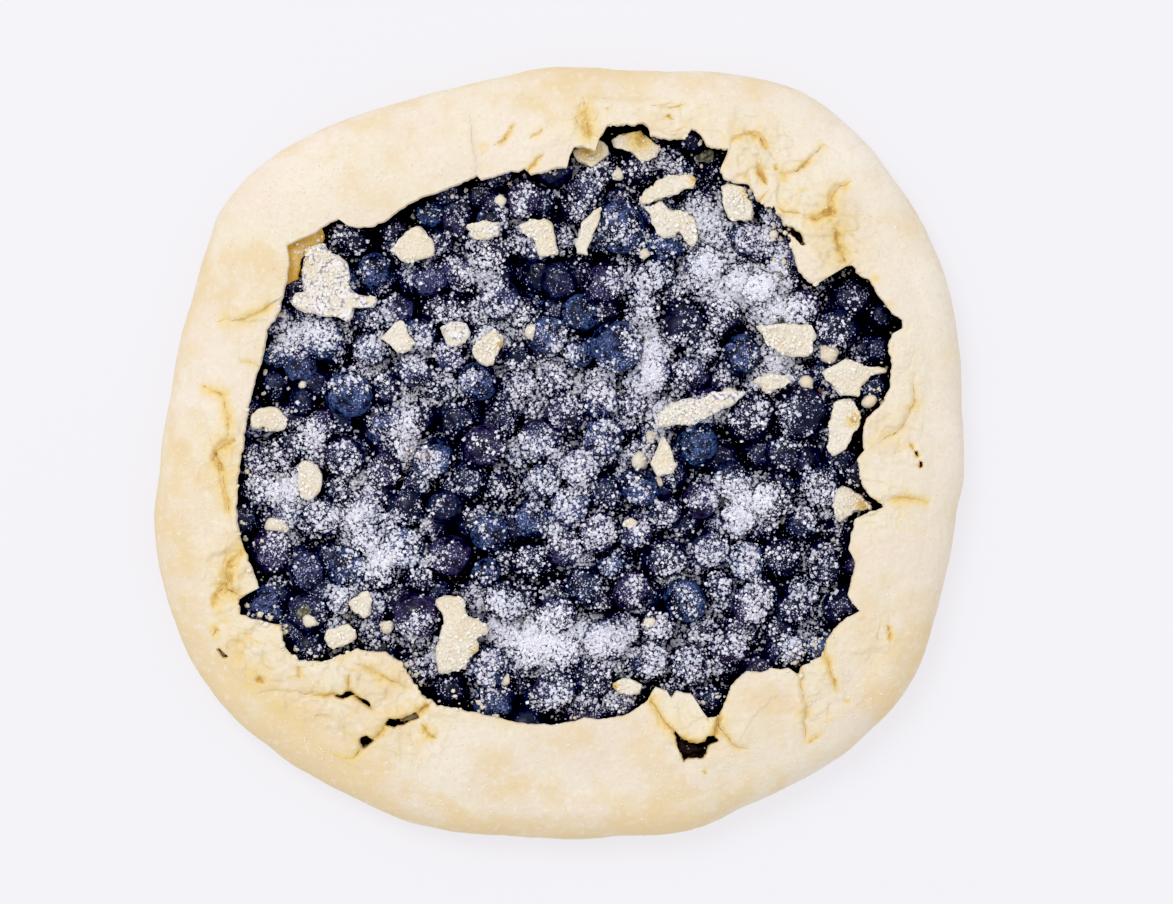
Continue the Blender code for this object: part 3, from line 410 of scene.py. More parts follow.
# Round spots of painted ochre shade beside folds, creases and the lip.
OCHRE_SHADE_SPOTS = [
    (232, 450, 9, 0.5), (237, 470, 7, 0.35), (240, 490, 7, 0.3), (234, 552, 12, 0.6),
    (230, 572, 10, 0.55), (226, 588, 9, 1.0), (222, 610, 8, 0.4), (216, 632, 8, 0.8),
    (258, 674, 16, 0.45), (248, 688, 10, 0.6), (300, 671, 7, 0.65), (345, 655, 8, 0.35),
    (375, 668, 7, 0.45), (418, 705, 6, 0.5), (431, 728, 6, 0.5), (582, 118, 7, 0.45),
    (584, 104, 5, 0.3), (586, 131, 5, 0.45), (742, 180, 6, 0.35), (782, 176, 9, 0.55),
    (826, 218, 12, 0.6), (832, 200, 9, 0.6), (838, 188, 9, 0.4), (834, 240, 10, 0.5),
    (843, 255, 7, 0.5), (782, 208, 8, 0.35), (872, 280, 6, 0.5), (888, 306, 6, 0.4),
    (914, 384, 8, 0.18), (866, 446, 9, 0.3), (914, 498, 6, 0.3), (660, 720, 8, 0.6), (672, 730, 6, 0.6),
    (803, 712, 8, 0.35), (820, 740, 7, 0.5), (722, 700, 5, 0.5), (454, 108, 5, 0.4), (484, 150, 8, 0.3),
    (485, 170, 7, 0.3), (262, 392, 8, 0.25), (339, 756, 5, 0.6), (348, 756, 4, 0.6), (382, 732, 5, 0.7),
    (314, 691, 5, 0.5), (383, 675, 6, 0.6), (435, 733, 5, 0.6), (420, 740, 6, 0.3), (300, 252, 6, 0.3),
    (240, 640, 12, 0.35), (208, 652, 8, 0.4), (280, 706, 10, 0.3), (292, 722, 24, 0.22),
    (262, 706, 18, 0.2), (228, 620, 8, 0.45), (320, 742, 20, 0.14),
]


def round_edge(edge, repeated):
    """An edge's bearings, rising, and radii, with some points repeated past each end."""
    pairs = sorted((math.atan2(y, x), math.hypot(x, y)) for x, y in map(from_view, edge))
    turns, radii = np.array(pairs).T
    before, after = turns[-repeated:] - 2 * math.pi, turns[:repeated] + 2 * math.pi
    return (np.concatenate((before, turns, after)),
            np.concatenate((radii[-repeated:], radii, radii[:repeated])))


def fold_radius(bearing):
    """How far the fold's outer edge is from the middle: a smooth curve through its points."""
    turns, radii = round_edge(FOLD_EDGE, 2)
    slope = np.gradient(radii, turns)
    i = np.clip(np.searchsorted(turns, bearing) - 1, 0, len(turns) - 2)
    step = turns[i + 1] - turns[i]
    t = (bearing - turns[i]) / step
    return (
        radii[i] * (2 * t**3 - 3 * t**2 + 1)
        + slope[i] * step * (t**3 - 2 * t**2 + t)
        + radii[i + 1] * (3 * t**2 - 2 * t**3)
        + slope[i + 1] * step * (t**3 - t**2)
    )


def lip_radius(bearing):
    """How far the torn lip is from the middle: straight runs between its points."""
    return np.interp(bearing, *round_edge(LIP_EDGE, 1))


def even_bearings(count):
    return np.arange(count) * (2 * math.pi / count) - math.pi


def on_ground(x, y):
    return np.stack((x, y, np.zeros(x.shape)), axis=-1)


def bumpy(points, across, seed=0):
    """Soft random bumps about that wide, from -1 to 1, at an array of points."""
    spot = np.asarray(points) / across + 17.3 * seed
    cell = np.floor(spot).astype(np.int64)
    part = spot - cell
    part = part * part * (3 - 2 * part)
    total = 0.0
    for corner in itertools.product((0, 1), repeat=3):
        key = (cell + np.array(corner)) @ np.array((374761393, 668265263, 1440662683))
        key = ((key ^ (key >> 13)) * 1274126177) & 0xFFFFFFFF
        key = (key ^ (key >> 16)) & 0xFFFF
        weight = np.prod(np.where(corner, part, 1 - part), axis=-1)
        total = total + weight * (key / 32767.5 - 1)
    return total


def layered(points, layers):
    """Layers of bumps on top of one another, each given by its height, width and seed."""
    return sum(height * bumpy(points, across, seed) for height, across, seed in layers)


def bell(away, width):
    """1 in the middle, falling off smoothly over about that width."""
    return np.exp(-((away / width) ** 2))


def mean_width(bearing):
    """Width of the band of dough, averaged over the bearings near each bearing."""
    samples = even_bearings(360)
    widths = fold_radius(samples) - lip_radius(samples)
    away = np.minimum(samples - samples[0], 2 * math.pi - (samples - samples[0]))
    weights = bell(away, FLAP_SPREAD)
    means = np.array([np.sum(widths * np.roll(weights, i)) for i in range(360)]) / np.sum(weights)
    return np.interp(bearing, np.append(samples, math.pi), np.append(means, means[0]))


def flap_height(inset, bearing):
    """Top of the folded flap, inset from the outer edge, before creases."""
    shoulder_top = FOLD_MID_HEIGHT + FOLD_SHOULDER_RISE * math.sin(
        math.acos(1 - BAND_START / FOLD_SHOULDER))
    climb = np.clip((inset - BAND_START) / (mean_width(bearing) - BAND_START), 0, 1)
    return shoulder_top + (LIP_HEIGHT - shoulder_top) * (1 - (1 - climb) ** FLAP_CURVE)


def along_route(x, y, pixels):
    """Distance to a route, on which side (1 left, -1 right) and the share of it passed."""
    route = [from_view(p) for p in pixels]
    total = sum(math.dist(a, b) for a, b in zip(route, route[1:]))
    nearest = np.full(x.shape, np.inf)
    side = np.zeros(x.shape)
    along = np.zeros(x.shape)
    passed = 0.0
    for (ax, ay), (bx, by) in zip(route, route[1:]):
        ex, ey = bx - ax, by - ay
        length = math.hypot(ex, ey)
        t = np.clip(((x - ax) * ex + (y - ay) * ey) / length**2, 0, 1)
        dx, dy = x - ax - t * ex, y - ay - t * ey
        away = np.hypot(dx, dy)
        nearer = away < nearest
        nearest = np.where(nearer, away, nearest)
        side = np.where(nearer, np.sign(ex * dy - ey * dx), side)
        along = np.where(nearer, (passed + t * length) / total, along)
        passed += length
    return nearest, side, along


def spots(x, y, places):
    """How much of the strongest of some round places there is at each point."""
    found = np.zeros(x.shape)
    for u, v, radius, strength in places:
        cx, cy = from_view((u, v))
        found = np.maximum(found, strength * bell(np.hypot(x - cx, y - cy), radius * PIXEL))
    return found


def outside_by(x, y, outline):
    """Distance from each point to a closed outline in pixels, negative inside it."""
    ax, ay = np.asarray([from_view(p) for p in outline]).T
    ex, ey = np.roll(ax, -1) - ax, np.roll(ay, -1) - ay
    dx, dy = np.asarray(x)[..., None] - ax, np.asarray(y)[..., None] - ay
    t = np.clip((dx * ex + dy * ey) / (ex**2 + ey**2), 0, 1)
    nearest = np.min(np.hypot(dx - t * ex, dy - t * ey), axis=-1)
    crossed = ((dy < 0) != (dy < ey)) & ((dx * ey < dy * ex) == (ey > 0))
    return np.where(np.sum(crossed, axis=-1) % 2 == 1, -nearest, nearest)


def tears(x, y):
    """1 inside the torn holes, 0 outside, with a ragged edge."""
    torn = np.zeros(x.shape)
    ragged = RAGGED_TEAR * bumpy(on_ground(x, y), 0.0011, 15)
    for tear in TEARS:
        away = outside_by(x, y, tear) + ragged
        torn = np.maximum(torn, 0.5 - 0.5 * np.tanh(2 * away / TEAR_SLOPE))
    return torn


def flap_surface(x, y):
    """Height that the flaps' unevenness adds, and the marks that their material reads."""
    flat = on_ground(x, y)
    wx, wy = x + layered(flat, STRAY_X), y + layered(flat, STRAY_Y)
    rise = layered(flat, SWELLS)
    # Painted ochre shade, first from round spots beside folds and creases.
    ochre = spots(wx, wy, OCHRE_SHADE_SPOTS) * (0.8 + 0.5 * bumpy(flat, 0.003, 14))
    uneven = 0.75 + 0.5 * bumpy(flat, 0.004, 7)
    openings = []
    for route, lap, reach, groove, width, fades, painted_shade in CREASES:
        away, side, along = along_route(wx, wy, route)
        strength = np.ones(x.shape)
        if fades in ("both", "start"):
            strength *= np.clip(along / FADE_SHARE, 0, 1)
        if fades in ("both", "end"):
            strength *= np.clip((1 - along) / FADE_SHARE, 0, 1)
        over = 0.5 + 0.5 * np.tanh(side * away / (LAP_EDGE * width) * np.sign(lap or 1))
        rise += strength * abs(lap) * over * np.exp(-away / reach)
        in_groove = bell(away, width)
        rise -= np.sqrt(strength) * groove * in_groove
        # Painted ochre shade in the groove and in a halo round it, and a dark painted crack line along
        # it.
        halo = 0.55 * bell(away, CREASE_HALO * width)
        crease_shade = np.sqrt(strength) * painted_shade * (0.45 * in_groove + halo)
        ochre = np.maximum(ochre, crease_shade * uneven)
        openings.append((strength * painted_shade * bell(away, CRACK_REACH), side * away))
    for route, width, depth, painted_shade in CRACKS:
        away, side, along = along_route(wx, wy, route)
        strength = np.clip(4 * np.minimum(along, 1 - along), 0, 1)
        rise -= depth * strength * bell(away, width)
        # Painted ochre shade round the crack, and a dark painted crack line along it.
        halo = strength * bell(away, CRACK_HALO * width)
        ochre = np.maximum(ochre, 0.8 * painted_shade * halo)
        opening = strength * min(1.0, 1.3 * painted_shade) * bell(away, CRACK_REACH)
        openings.append((opening, side * away))
    crack_side, crack_strength = np.ones(x.shape), np.zeros(x.shape)
    for opening, beside in openings:
        crack_side = np.where(opening > crack_strength, beside, crack_side)
        crack_strength = np.maximum(crack_strength, opening)
    for u, v, radius, depth in PITS:
        in_pit = spots(wx, wy, [(u, v, radius, 1.0)])
        rise -= depth * in_pit
        # Painted ochre shade in the pits.
        ochre = np.maximum(ochre, 0.8 * in_pit)
    crumbly = spots(x, y, CRUMBLY_PLACES)
    broad = bumpy(flat, BROAD_PLATES, 8)
    plates = np.tanh(9 * broad) + 0.6 * np.tanh(8 * bumpy(flat, SMALL_PLATES, 9))
    rise += (PLATE_RISE[0] + PLATE_RISE[1] * crumbly) * plates
    # Painted ochre shade along the edges of the plates, and below it in the chinks.
    plate_edges = crumbly * bell(broad, 0.08) * np.clip(0.4 + 2 * bumpy(flat, 0.008, 16), 0, 1)
    ochre = np.maximum(ochre, 0.42 * plate_edges)
    rise += (CRUMB_RISE[0] + CRUMB_RISE[1] * crumbly) * bumpy(flat, 0.0009, 10)
    chinks = crumbly * np.clip(1 - 9 * np.abs(bumpy(flat, 0.0055, 11)), 0, 1)
    chinks = chinks * (bumpy(flat, 0.009, 12) > 0.25)
    rise -= CHINK_DEPTH * chinks
    ochre = np.maximum(ochre, 0.55 * chinks)
    rise = np.clip(rise, -MOST_RELIEF, MOST_RELIEF)
    warm = np.clip(spots(x, y, WARM_PLACES) + 0.35 * bumpy(flat, 0.022, 13), 0, 1)
    return rise, (ochre, tears(x, y), crumbly, warm, crack_side, crack_strength)


def lathe_mesh(name, rings, low_centre, high_centre):
    """A closed mesh from rings of points, listed from the bottom's middle round to the top's."""
    columns = len(rings[0])
    points = np.concatenate([[low_centre], *rings, [high_centre]])
    j = np.arange(columns)
    after = (j + 1) % columns
    last = 1 + (len(rings) - 1) * columns
    low_fan = np.stack((np.zeros_like(j), 1 + after, 1 + j), axis=1)
    high_fan = np.stack((last + j, last + after, np.full_like(j, len(points) - 1)), axis=1)
    sides = np.concatenate([
        np.stack((low + j, low + after, low + columns + after, low + columns + j), axis=1)
        for low in range(1, last, columns)
    ])
    return make_mesh(name, points, low_fan.tolist() + sides.tolist() + high_fan.tolist())


def ring_at(bearing, radius, height):
    return np.stack((radius * np.cos(bearing), radius * np.sin(bearing),
                     np.broadcast_to(height, bearing.shape)), axis=1)


def paint(mesh, name, values):
    """Stores one number for each point of a mesh, for its material to read."""
    layer = mesh.attributes.new(name, "FLOAT", "POINT")
    layer.data.foreach_set("value", np.asarray(values, np.float32))


def add_piece(name, mesh, material, smooth=True):
    """An object that rides on the galette."""
    mesh.materials.clear()
    mesh.materials.append(material)
    if smooth:
        mesh.shade_smooth()
    piece = add_object(name, mesh)
    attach(piece, "root")
    return piece


def evened_lip(lip):
    """A smooth line outside the torn lip, for the flap's rings to follow."""
    steps = range(-EVEN_COLUMNS, EVEN_COLUMNS + 1)
    outermost = np.max([np.roll(lip, step) for step in steps], axis=0)
    return np.mean([np.roll(outermost, step) for step in steps], axis=0) + EVEN_MARGIN


def build_crust_mesh():
    """The folded round of dough, from its flat underside round the fold to the floor inside."""
    bearing = even_bearings(CRUST_COLUMNS)
    outer = fold_radius(bearing)
    lip = lip_radius(bearing)
    lip_line = ring_at(bearing, lip, 0.0)
    crumbly_lip = 0.35 + spots(lip_line[:, 0], lip_line[:, 1], CRUMBLY_PLACES)
    lip = lip + crumbly_lip * layered(lip_line, LIP_ROUGHNESS)
    outer = outer + layered(ring_at(bearing, outer, 0.0), EDGE_LUMPS)
    none = np.zeros(CRUST_COLUMNS)
    fold_line = outer - BAND_START
    fold_warmth = 0.18 + 0.3 * bumpy(ring_at(bearing, fold_line, 0.0), 0.02, 23)
    rings, marks = [], []

    def side_marks(how_warm, radius):
        spotted = spots(radius * np.cos(bearing), radius * np.sin(bearing), WARM_PLACES)
        warmth = np.clip(fold_warmth + how_warm + 0.7 * spotted, 0, 1)
        return [none, none, none, warmth, none + 1, none]

    inside_marks = side_marks(0.2, fold_line)

    def add_ring(radius, height, ring_marks=inside_marks):
        rings.append(ring_at(bearing, radius, height))
        marks.append(ring_marks)

    add_ring(outer - FOLD_FOOT - 0.001, 0.0, side_marks(0.3, fold_line))
    for turn in np.radians(FOOT_TURNS):
        radius = outer - FOLD_FOOT * (1 - math.cos(turn))
        add_ring(radius, FOLD_MID_HEIGHT * (1 + math.sin(turn)), side_marks(0.3, radius))
    last_turn = math.degrees(math.acos(1 - BAND_START / FOLD_SHOULDER))
    for turn in np.radians(np.linspace(4, last_turn - 3, SHOULDER_RINGS)):
        radius = outer - FOLD_SHOULDER * (1 - math.cos(turn))
        level = FOLD_MID_HEIGHT + FOLD_SHOULDER_RISE * math.sin(turn)
        uneven = layered(ring_at(bearing, radius, level), SHOULDER_UNEVENNESS)
        add_ring(radius + uneven, level + uneven,
                 side_marks(0.25 * (1 - math.degrees(turn) / last_turn), radius))
    side_warmth = side_marks(0.0, fold_line)[3]
    flap_end = outer - lip - LIP_ROUND
    even_end = outer - evened_lip(lip)
    for share in np.linspace(0, 1, FLAP_RINGS):
        if share < EVEN_SHARE:
            inset = BAND_START + share / EVEN_SHARE * (even_end - BAND_START)
        else:
            past = (share - EVEN_SHARE) / (1 - EVEN_SHARE)
            inset = even_end + past * (flap_end - even_end)
        radius = outer - inset
        rise, flap_marks = flap_surface(radius * np.cos(bearing), radius * np.sin(bearing))
        ochre, torn, crumbly, warm, *crack_marks = flap_marks
        fade_in = min(1.0, 6 * share)
        # Painted ochre shade round the rim of each torn hole.
        rim = torn * (1 - torn) * 4
        add_ring(radius, flap_height(inset, bearing) + fade_in * rise - TORN_DEPTH * torn,
                 [np.maximum(ochre, 0.6 * rim), torn, crumbly,
                  np.clip(warm * fade_in + (1 - fade_in) * side_warmth, 0, 1), *crack_marks])
    edge_height = rings[-1][:, 2]
    last_marks = marks[-1]
    lip_under = flap_height(outer - lip, bearing) - DOUGH
    for share, back in LIP_SIDE:
        height = edge_height + share * (lip_under - edge_height)
        line = ring_at(bearing, lip, 1.3 * height)
        crumb = 0.00035 * crumbly_lip * bumpy(line, 0.0014, 26)
        # Painted ochre shade grows down the lip's side towards its underside.
        add_ring(lip + back + crumb, height,
                 [np.maximum(last_marks[0], 0.5 * share), *last_marks[1:]])
    inner_start = BAND_START + 0.001
    for share in np.linspace(0, 1, UNDER_RINGS):
        inset = flap_end - share * (flap_end - inner_start)
        radius = outer - inset
        torn = tears(radius * np.cos(bearing), radius * np.sin(bearing))
        add_ring(radius, flap_height(inset, bearing) - DOUGH - 0.002 * torn)
    for turn in np.radians([60, 45, 25, 0]):
        inset = FOLD_SHOULDER - (FOLD_SHOULDER - DOUGH) * math.cos(turn)
        add_ring(outer - inset, FOLD_MID_HEIGHT + (FOLD_SHOULDER_RISE - DOUGH) * math.sin(turn))
    hollow = FOLD_MID_HEIGHT - DOUGH
    for turn in np.radians([-30, -60, -90]):
        inset = DOUGH + hollow * (1 - math.cos(turn))
        add_ring(outer - inset, FOLD_MID_HEIGHT + hollow * math.sin(turn))
    mesh = lathe_mesh("crust", rings, (0, 0, 0), (0, 0, DOUGH))
    points = np.concatenate(rings)
    painted_marks = [np.concatenate(each) for each in zip(*marks)]
    painted_marks.append(spots(points[:, 0], points[:, 1], FLOUR_AND_LIGHT_PLACES))
    names = ("ochre", "torn", "crumbly", "warm", "crack_side", "crack_strength", "flour_and_light")
    for name, values in zip(names, painted_marks):
        paint(mesh, name, np.concatenate(([0.0], values, [0.0])))
    return mesh


def painted(tree, name):
    return add_node(tree, "Attribute", attribute_name=name).outputs["Fac"]


def arithmetic(tree, what, *values):
    return add_node(tree, "Math", dict(enumerate(values)), operation=what).outputs[0]


def times(tree, *values):
    return arithmetic(tree, "MULTIPLY", *values)


def plus(tree, *values):
    return arithmetic(tree, "ADD", *values)


def stretch(tree, value, low, high, to_low=0.0, to_high=1.0):
    """Output of a node that maps low..high smoothly to to_low..to_high."""
    feeds = {"Value": value, "From Min": low, "From Max": high, "To Min": to_low, "To Max": to_high}
    return add_node(tree, "MapRange", feeds, interpolation_type="SMOOTHSTEP").outputs[0]


def relief(tree, height, depth, strength, **settings):
    """Output of a bump node: the normal over a relief of that depth."""
    feeds = {"Height": height, "Distance": depth, "Strength": strength}
    return add_node(tree, "Bump", feeds, **settings).outputs[0]


def new_group(name, inputs, outputs):
    """A shader node group with named sockets of some kinds, and what its input node gives."""
    tree = bpy.data.node_groups.new(name, "ShaderNodeTree")
    for way, sockets in (("INPUT", inputs), ("OUTPUT", outputs)):
        for socket, kind in sockets.items():
            tree.interface.new_socket(socket, in_out=way, socket_type="NodeSocket" + kind)
    return tree, tree.nodes.new("NodeGroupInput").outputs


def dough_effect():
    """Node group: the colour, roughness and fine relief of raw dough."""
    tree, given = new_group(
        "raw dough surface",
        {"Place": "Vector", "Pale": "Color", "Warm": "Color", "Warmth": "Float", "Ochre": "Float",
         "Crumbly": "Float"},
        {"Colour": "Color", "Roughness": "Float", "Relief": "Float"})
    place = given["Place"]
    blotches = stretch(tree, mottle(tree, place, 0.01, 5.0), 0.33, 0.67, -0.26, 0.32)
    warmth = stretch(tree, plus(tree, given["Warmth"], blotches), 0.0, 1.0)
    base = blend(tree, warmth, given["Pale"], given["Warm"])
    grain = mottle(tree, place, 0.0013, 3.0)
    base = blend(tree, stretch(tree, grain, 0.5, 0.72, 0.0, 0.36), base, GRAIN_SHADE)
    flour = mottle(tree, place, 0.0021, 3.0)
    base = blend(tree, stretch(tree, flour, 0.52, 0.76, 0.0, 0.34), base, FLOUR_WHITE)
    speckle = stretch(tree, mottle(tree, place, 0.0016, 3.0), 0.36, 0.64, 0.72, 1.12)
    # The Ochre input is painted ochre shade: light ochre, and deep ochre where it is strongest.
    ochre = times(tree, given["Ochre"], speckle)
    base = blend(tree, stretch(tree, ochre, -0.05, 0.5, -0.02, 0.9), base, LIGHT_OCHRE)
    deep_ochre = blend(tree, mottle(tree, place, 0.002), *DEEP_OCHRES)
    base = blend(tree, stretch(tree, ochre, 0.35, 1.0), base, deep_ochre)
    coarse = times(tree, mottle(tree, place, 0.004, 3.0), given["Crumbly"])
    height = plus(tree, times(tree, grain, 0.6), coarse)
    height = plus(tree, height, times(tree, flour, 0.5))
    feed(tree, tree.nodes.new("NodeGroupOutput"), {
        "Colour": base, "Roughness": stretch(tree, grain, 0.3, 0.7, 0.55, 0.75), "Relief": height})
    return tree


raw_dough_surface = dough_effect()


def raw_dough(tree, place, pale, warm, warmth, ochre, crumbly):
    """Outputs of the group of raw dough, placed in a material."""
    feeds = {"Place": place, "Pale": pale, "Warm": (*warm, 1), "Warmth": warmth, "Ochre": ochre,
             "Crumbly": crumbly}
    return add_node(tree, "Group", feeds, node_tree=raw_dough_surface).outputs


def crust_dough():
    """Raw shortcrust: pale cream, warmer in places, ochre in its creases."""
    material, tree, surface, place = new_material("raw shortcrust")
    peach = stretch(tree, mottle(tree, place, 0.026), 0.42, 0.58)
    patchy = stretch(tree, mottle(tree, place, 0.008, 4.0), 0.3, 0.6, 0.5, 1.0)
    # Flour and painted light make the dough paler and less warm in places.
    flour_and_light = times(tree, painted(tree, "flour_and_light"), patchy)
    crumbly = painted(tree, "crumbly")
    pale = blend(tree, flour_and_light, blend(tree, peach, PALE_DOUGH, PEACH_DOUGH), FLOURED_AND_LIT_DOUGH)
    pale = blend(tree, times(tree, crumbly, 0.8), pale, CRUMBLY_DOUGH)
    warmth = arithmetic(tree, "SUBTRACT", painted(tree, "warm"), times(tree, flour_and_light, 0.6))
    dough = raw_dough(tree, place, pale, WARM_DOUGH, warmth, painted(tree, "ochre"), crumbly)
    # A thin dark brown line of painted shade runs along each crack and crease.
    strength = painted(tree, "crack_strength")
    uneven = stretch(tree, mottle(tree, place, 0.0014), 0.3, 0.7, 0.3, 1.4)
    half_width = times(tree, times(tree, strength, 0.0004), uneven)
    away = arithmetic(tree, "ABSOLUTE", painted(tree, "crack_side"))
    away = arithmetic(tree, "DIVIDE", away, plus(tree, half_width, 0.00001))
    along = plus(tree, mottle(tree, place, 0.0034, 3.0), times(tree, strength, 0.1))
    in_crack = times(tree, stretch(tree, away, 0.45, 1.0, 1.0, 0.0),
                     stretch(tree, along, 0.48, 0.62, 0.12, 0.92))
    shade = stretch(tree, mottle(tree, place, 0.0022), 0.54, 0.7)
    colour = blend(tree, in_crack, dough["Colour"], blend(tree, shade, *CRACK_SHADE_BROWNS))
    # The bottoms of the torn holes are painted near black: painted shade of the fruit below.
    below = blend(tree, mottle(tree, place, 0.003), *SHADE_SEEN_IN_TEARS)
    colour = blend(tree, stretch(tree, painted(tree, "torn"), 0.45, 0.75), colour, below)
    height = arithmetic(tree, "SUBTRACT", dough["Relief"], in_crack)
    feed(tree, surface, {
        "Base Color": colour, "Roughness": dough["Roughness"], "Specular IOR Level": 0.35,
        "Normal": relief(tree, height, 0.0005, 0.65)})
    return material


crust_mesh = build_crust_mesh()
crust = add_piece("folded_crust", crust_mesh, crust_dough())
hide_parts("crust")


# ------------------------------------------------------------------ the fruit
# Fresh blueberries, 11 to 19 mm across, piled in the dough. Each has a star of five short
# teeth round a dimple at one end, and a waxy pale bloom that rubs off in patches. The upper
# ones lie where the imported heap has them, and more lie under them on a near-black bed,
# painted shade deep between the berries.
BERRY_FLATNESS = 0.86  # height of a berry against its width
BERRY_SEED = 7
FILL_WIDTHS = [0.0145, 0.0135, 0.0125, 0.0115, 0.0105]  # berries that fill in between
FILL_STEP = 0.0022  # spacing of the places tried
FILL_CROWDING = 0.86  # least distance between two berries against their radii
UNDER_PACKED_TOP = 0.94  # share of a berry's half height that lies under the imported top
DENT = 0.035  # how uneven a berry is against its radius
FILL_SKINS = ("dark", "dark", "dark", "mixed", "violet", "blue")
BED_HEIGHT = 0.0125
BED_RISE = 0.0004  # of the bed over the dough below it
LOWER_SPACING = 0.0135  # of the lower berries in a row
LOWER_ROW_SPACING = 0.87  # of their rows against that
LOWER_ROWS = range(-8, 9)
LOWER_COLUMNS = range(-9, 10)
BERRY_SIDES = 22
BERRY_RINGS = 13
STAR_LEANS = [0.13, 0.25, 0.34, 0.44]  # of the rings round the star, in radians from its middle
# Near black skins and their bloom, each from blue to violet.
NAKED_SKINS = ((0.003, 0.005, 0.016), (0.009, 0.005, 0.021))
BLOOMY_SKINS = ((0.07, 0.124, 0.31), (0.12, 0.104, 0.275))
STAR_COLOUR = (0.01, 0.01, 0.022)
DUST_TONES = ((0.072, 0.088, 0.24), (0.76, 0.76, 0.96))
DUST_CELL = 0.00062
# Near-black bed deep between the berries: painted shade.
BED_SHADE_COLOURS = ((0.003, 0.003, 0.008), (0.01, 0.009, 0.024))

# The berries that stand out in the view, by their skin: across, down and width in pixels.
SEEN_BERRIES = {
    "blue": [
        (375, 272, 40), (322, 338, 48), (275, 355, 32), (350, 395, 50), (478, 382, 42), (430, 215, 30),
        (550, 335, 40), (618, 228, 56), (665, 245, 40), (617, 347, 54), (740, 355, 44), (603, 437, 42),
        (697, 445, 46), (348, 566, 42), (490, 532, 42), (405, 548, 44), (490, 667, 42), (640, 487, 42),
        (570, 507, 42), (265, 605, 44), (685, 600, 46), (745, 560, 40),
    ],
    "dark": [
        (304, 401, 33), (345, 457, 44), (480, 195, 30), (345, 234, 34), (629, 177, 50), (670, 163, 38),
        (683, 328, 46), (722, 318, 42), (850, 298, 44), (835, 330, 48), (878, 350, 30), (872, 388, 40),
        (750, 418, 56), (800, 413, 58), (325, 515, 46), (445, 507, 38), (505, 600, 46), (530, 560, 42),
        (780, 555, 42), (825, 570, 38), (793, 607, 36), (712, 698, 32), (817, 480, 44), (880, 315, 30),
        (310, 648, 40), (295, 445, 35), (395, 232, 30), (518, 357, 32), (450, 690, 40), (770, 500, 44),
    ],
    "violet": [
        (525, 200, 44), (455, 225, 30), (485, 445, 46), (417, 615, 52), (272, 550, 48), (450, 555, 46),
        (565, 548, 42), (632, 590, 42), (728, 648, 42), (800, 310, 44), (603, 285, 44), (700, 500, 40),
        (385, 470, 38),
    ],
    "mixed": [
        (430, 280, 40), (400, 310, 32), (540, 440, 44), (450, 355, 38), (415, 370, 36), (455, 270, 32),
        (690, 375, 40), (600, 400, 42), (375, 604, 34), (635, 533, 36), (710, 550, 42), (785, 648, 42),
        (555, 690, 46), (605, 640, 46), (620, 702, 36), (650, 660, 42), (540, 250, 34), (705, 265, 44),
        (760, 290, 40), (748, 240, 40), (500, 300, 42), (370, 350, 34), (585, 190, 36), (265, 490, 34),
        (555, 615, 46),
    ],
}
# How much bloom and how much violet each kind of skin has, and how thickly it is sugared.
SKINS = {"blue": (1.0, 0.1), "dark": (0.14, 0.3), "violet": (0.35, 1.0), "mixed": (0.5, 0.5)}
SUGARED = {"dark": (0.3, 0.9), "blue": (0.35, 0.85), "violet": (0.6, 1.2), "mixed": (0.7, 1.4)}
LEAST_DUST = 0.16  # how dusty the barest berry is
# Where little sugar fell: across, down and radius in pixels of the view, and how bare.
BARE_PLACES = [
    (520, 268, 30, 0.55), (600, 285, 22, 0.65), (606, 340, 27, 0.65), (685, 322, 34, 0.85),
    (722, 318, 18, 0.5), (308, 378, 30, 0.85), (345, 408, 28, 0.75), (700, 442, 27, 0.8),
    (735, 458, 20, 0.5), (850, 325, 44, 0.8), (828, 470, 34, 0.65), (852, 560, 32, 0.65),
    (815, 618, 34, 0.6), (487, 445, 26, 0.65), (605, 492, 38, 0.7), (500, 548, 48, 0.7),
    (535, 592, 36, 0.65), (455, 560, 28, 0.5), (468, 512, 26, 0.6), (632, 545, 27, 0.6),
    (685, 600, 22, 0.4), (565, 560, 24, 0.4), (245, 592, 28, 0.4), (392, 592, 26, 0.5),
    (385, 472, 22, 0.35), (425, 212, 30, 0.65), (540, 190, 30, 0.65), (475, 197, 24, 0.65),
    (350, 242, 28, 0.75), (690, 152, 34, 0.8), (622, 152, 32, 0.8), (645, 182, 24, 0.6),
    (745, 358, 22, 0.5), (803, 415, 26, 0.4), (755, 420, 24, 0.4), (664, 662, 30, 0.5),
    (500, 700, 34, 0.5), (860, 400, 24, 0.6), (415, 300, 18, 0.3), (562, 250, 18, 0.15),
    (718, 712, 24, 0.6), (775, 572, 30, 0.5), (440, 690, 24, 0.5), (560, 700, 24, 0.4),
    (640, 690, 30, 0.5), (370, 330, 16, 0.4), (745, 620, 22, 0.35), (625, 285, 34, 0.55),
    (658, 262, 26, 0.35), (545, 470, 34, 0.65), (578, 466, 34, 0.6), (562, 425, 26, 0.4),
    (512, 472, 24, 0.4), (587, 525, 34, 0.55), (422, 338, 30, 0.4), (425, 372, 28, 0.5),
    (420, 622, 30, 0.6), (318, 618, 32, 0.5), (574, 688, 26, 0.4), (722, 560, 32, 0.35),
    (610, 395, 30, 0.3),
]


def inside_lip(x, y, margin=0.0):
    """Whether a place is inside the opening, or at most a margin outside its lip."""
    return math.hypot(x, y) < lip_radius(np.array([math.atan2(y, x)]))[0] + margin


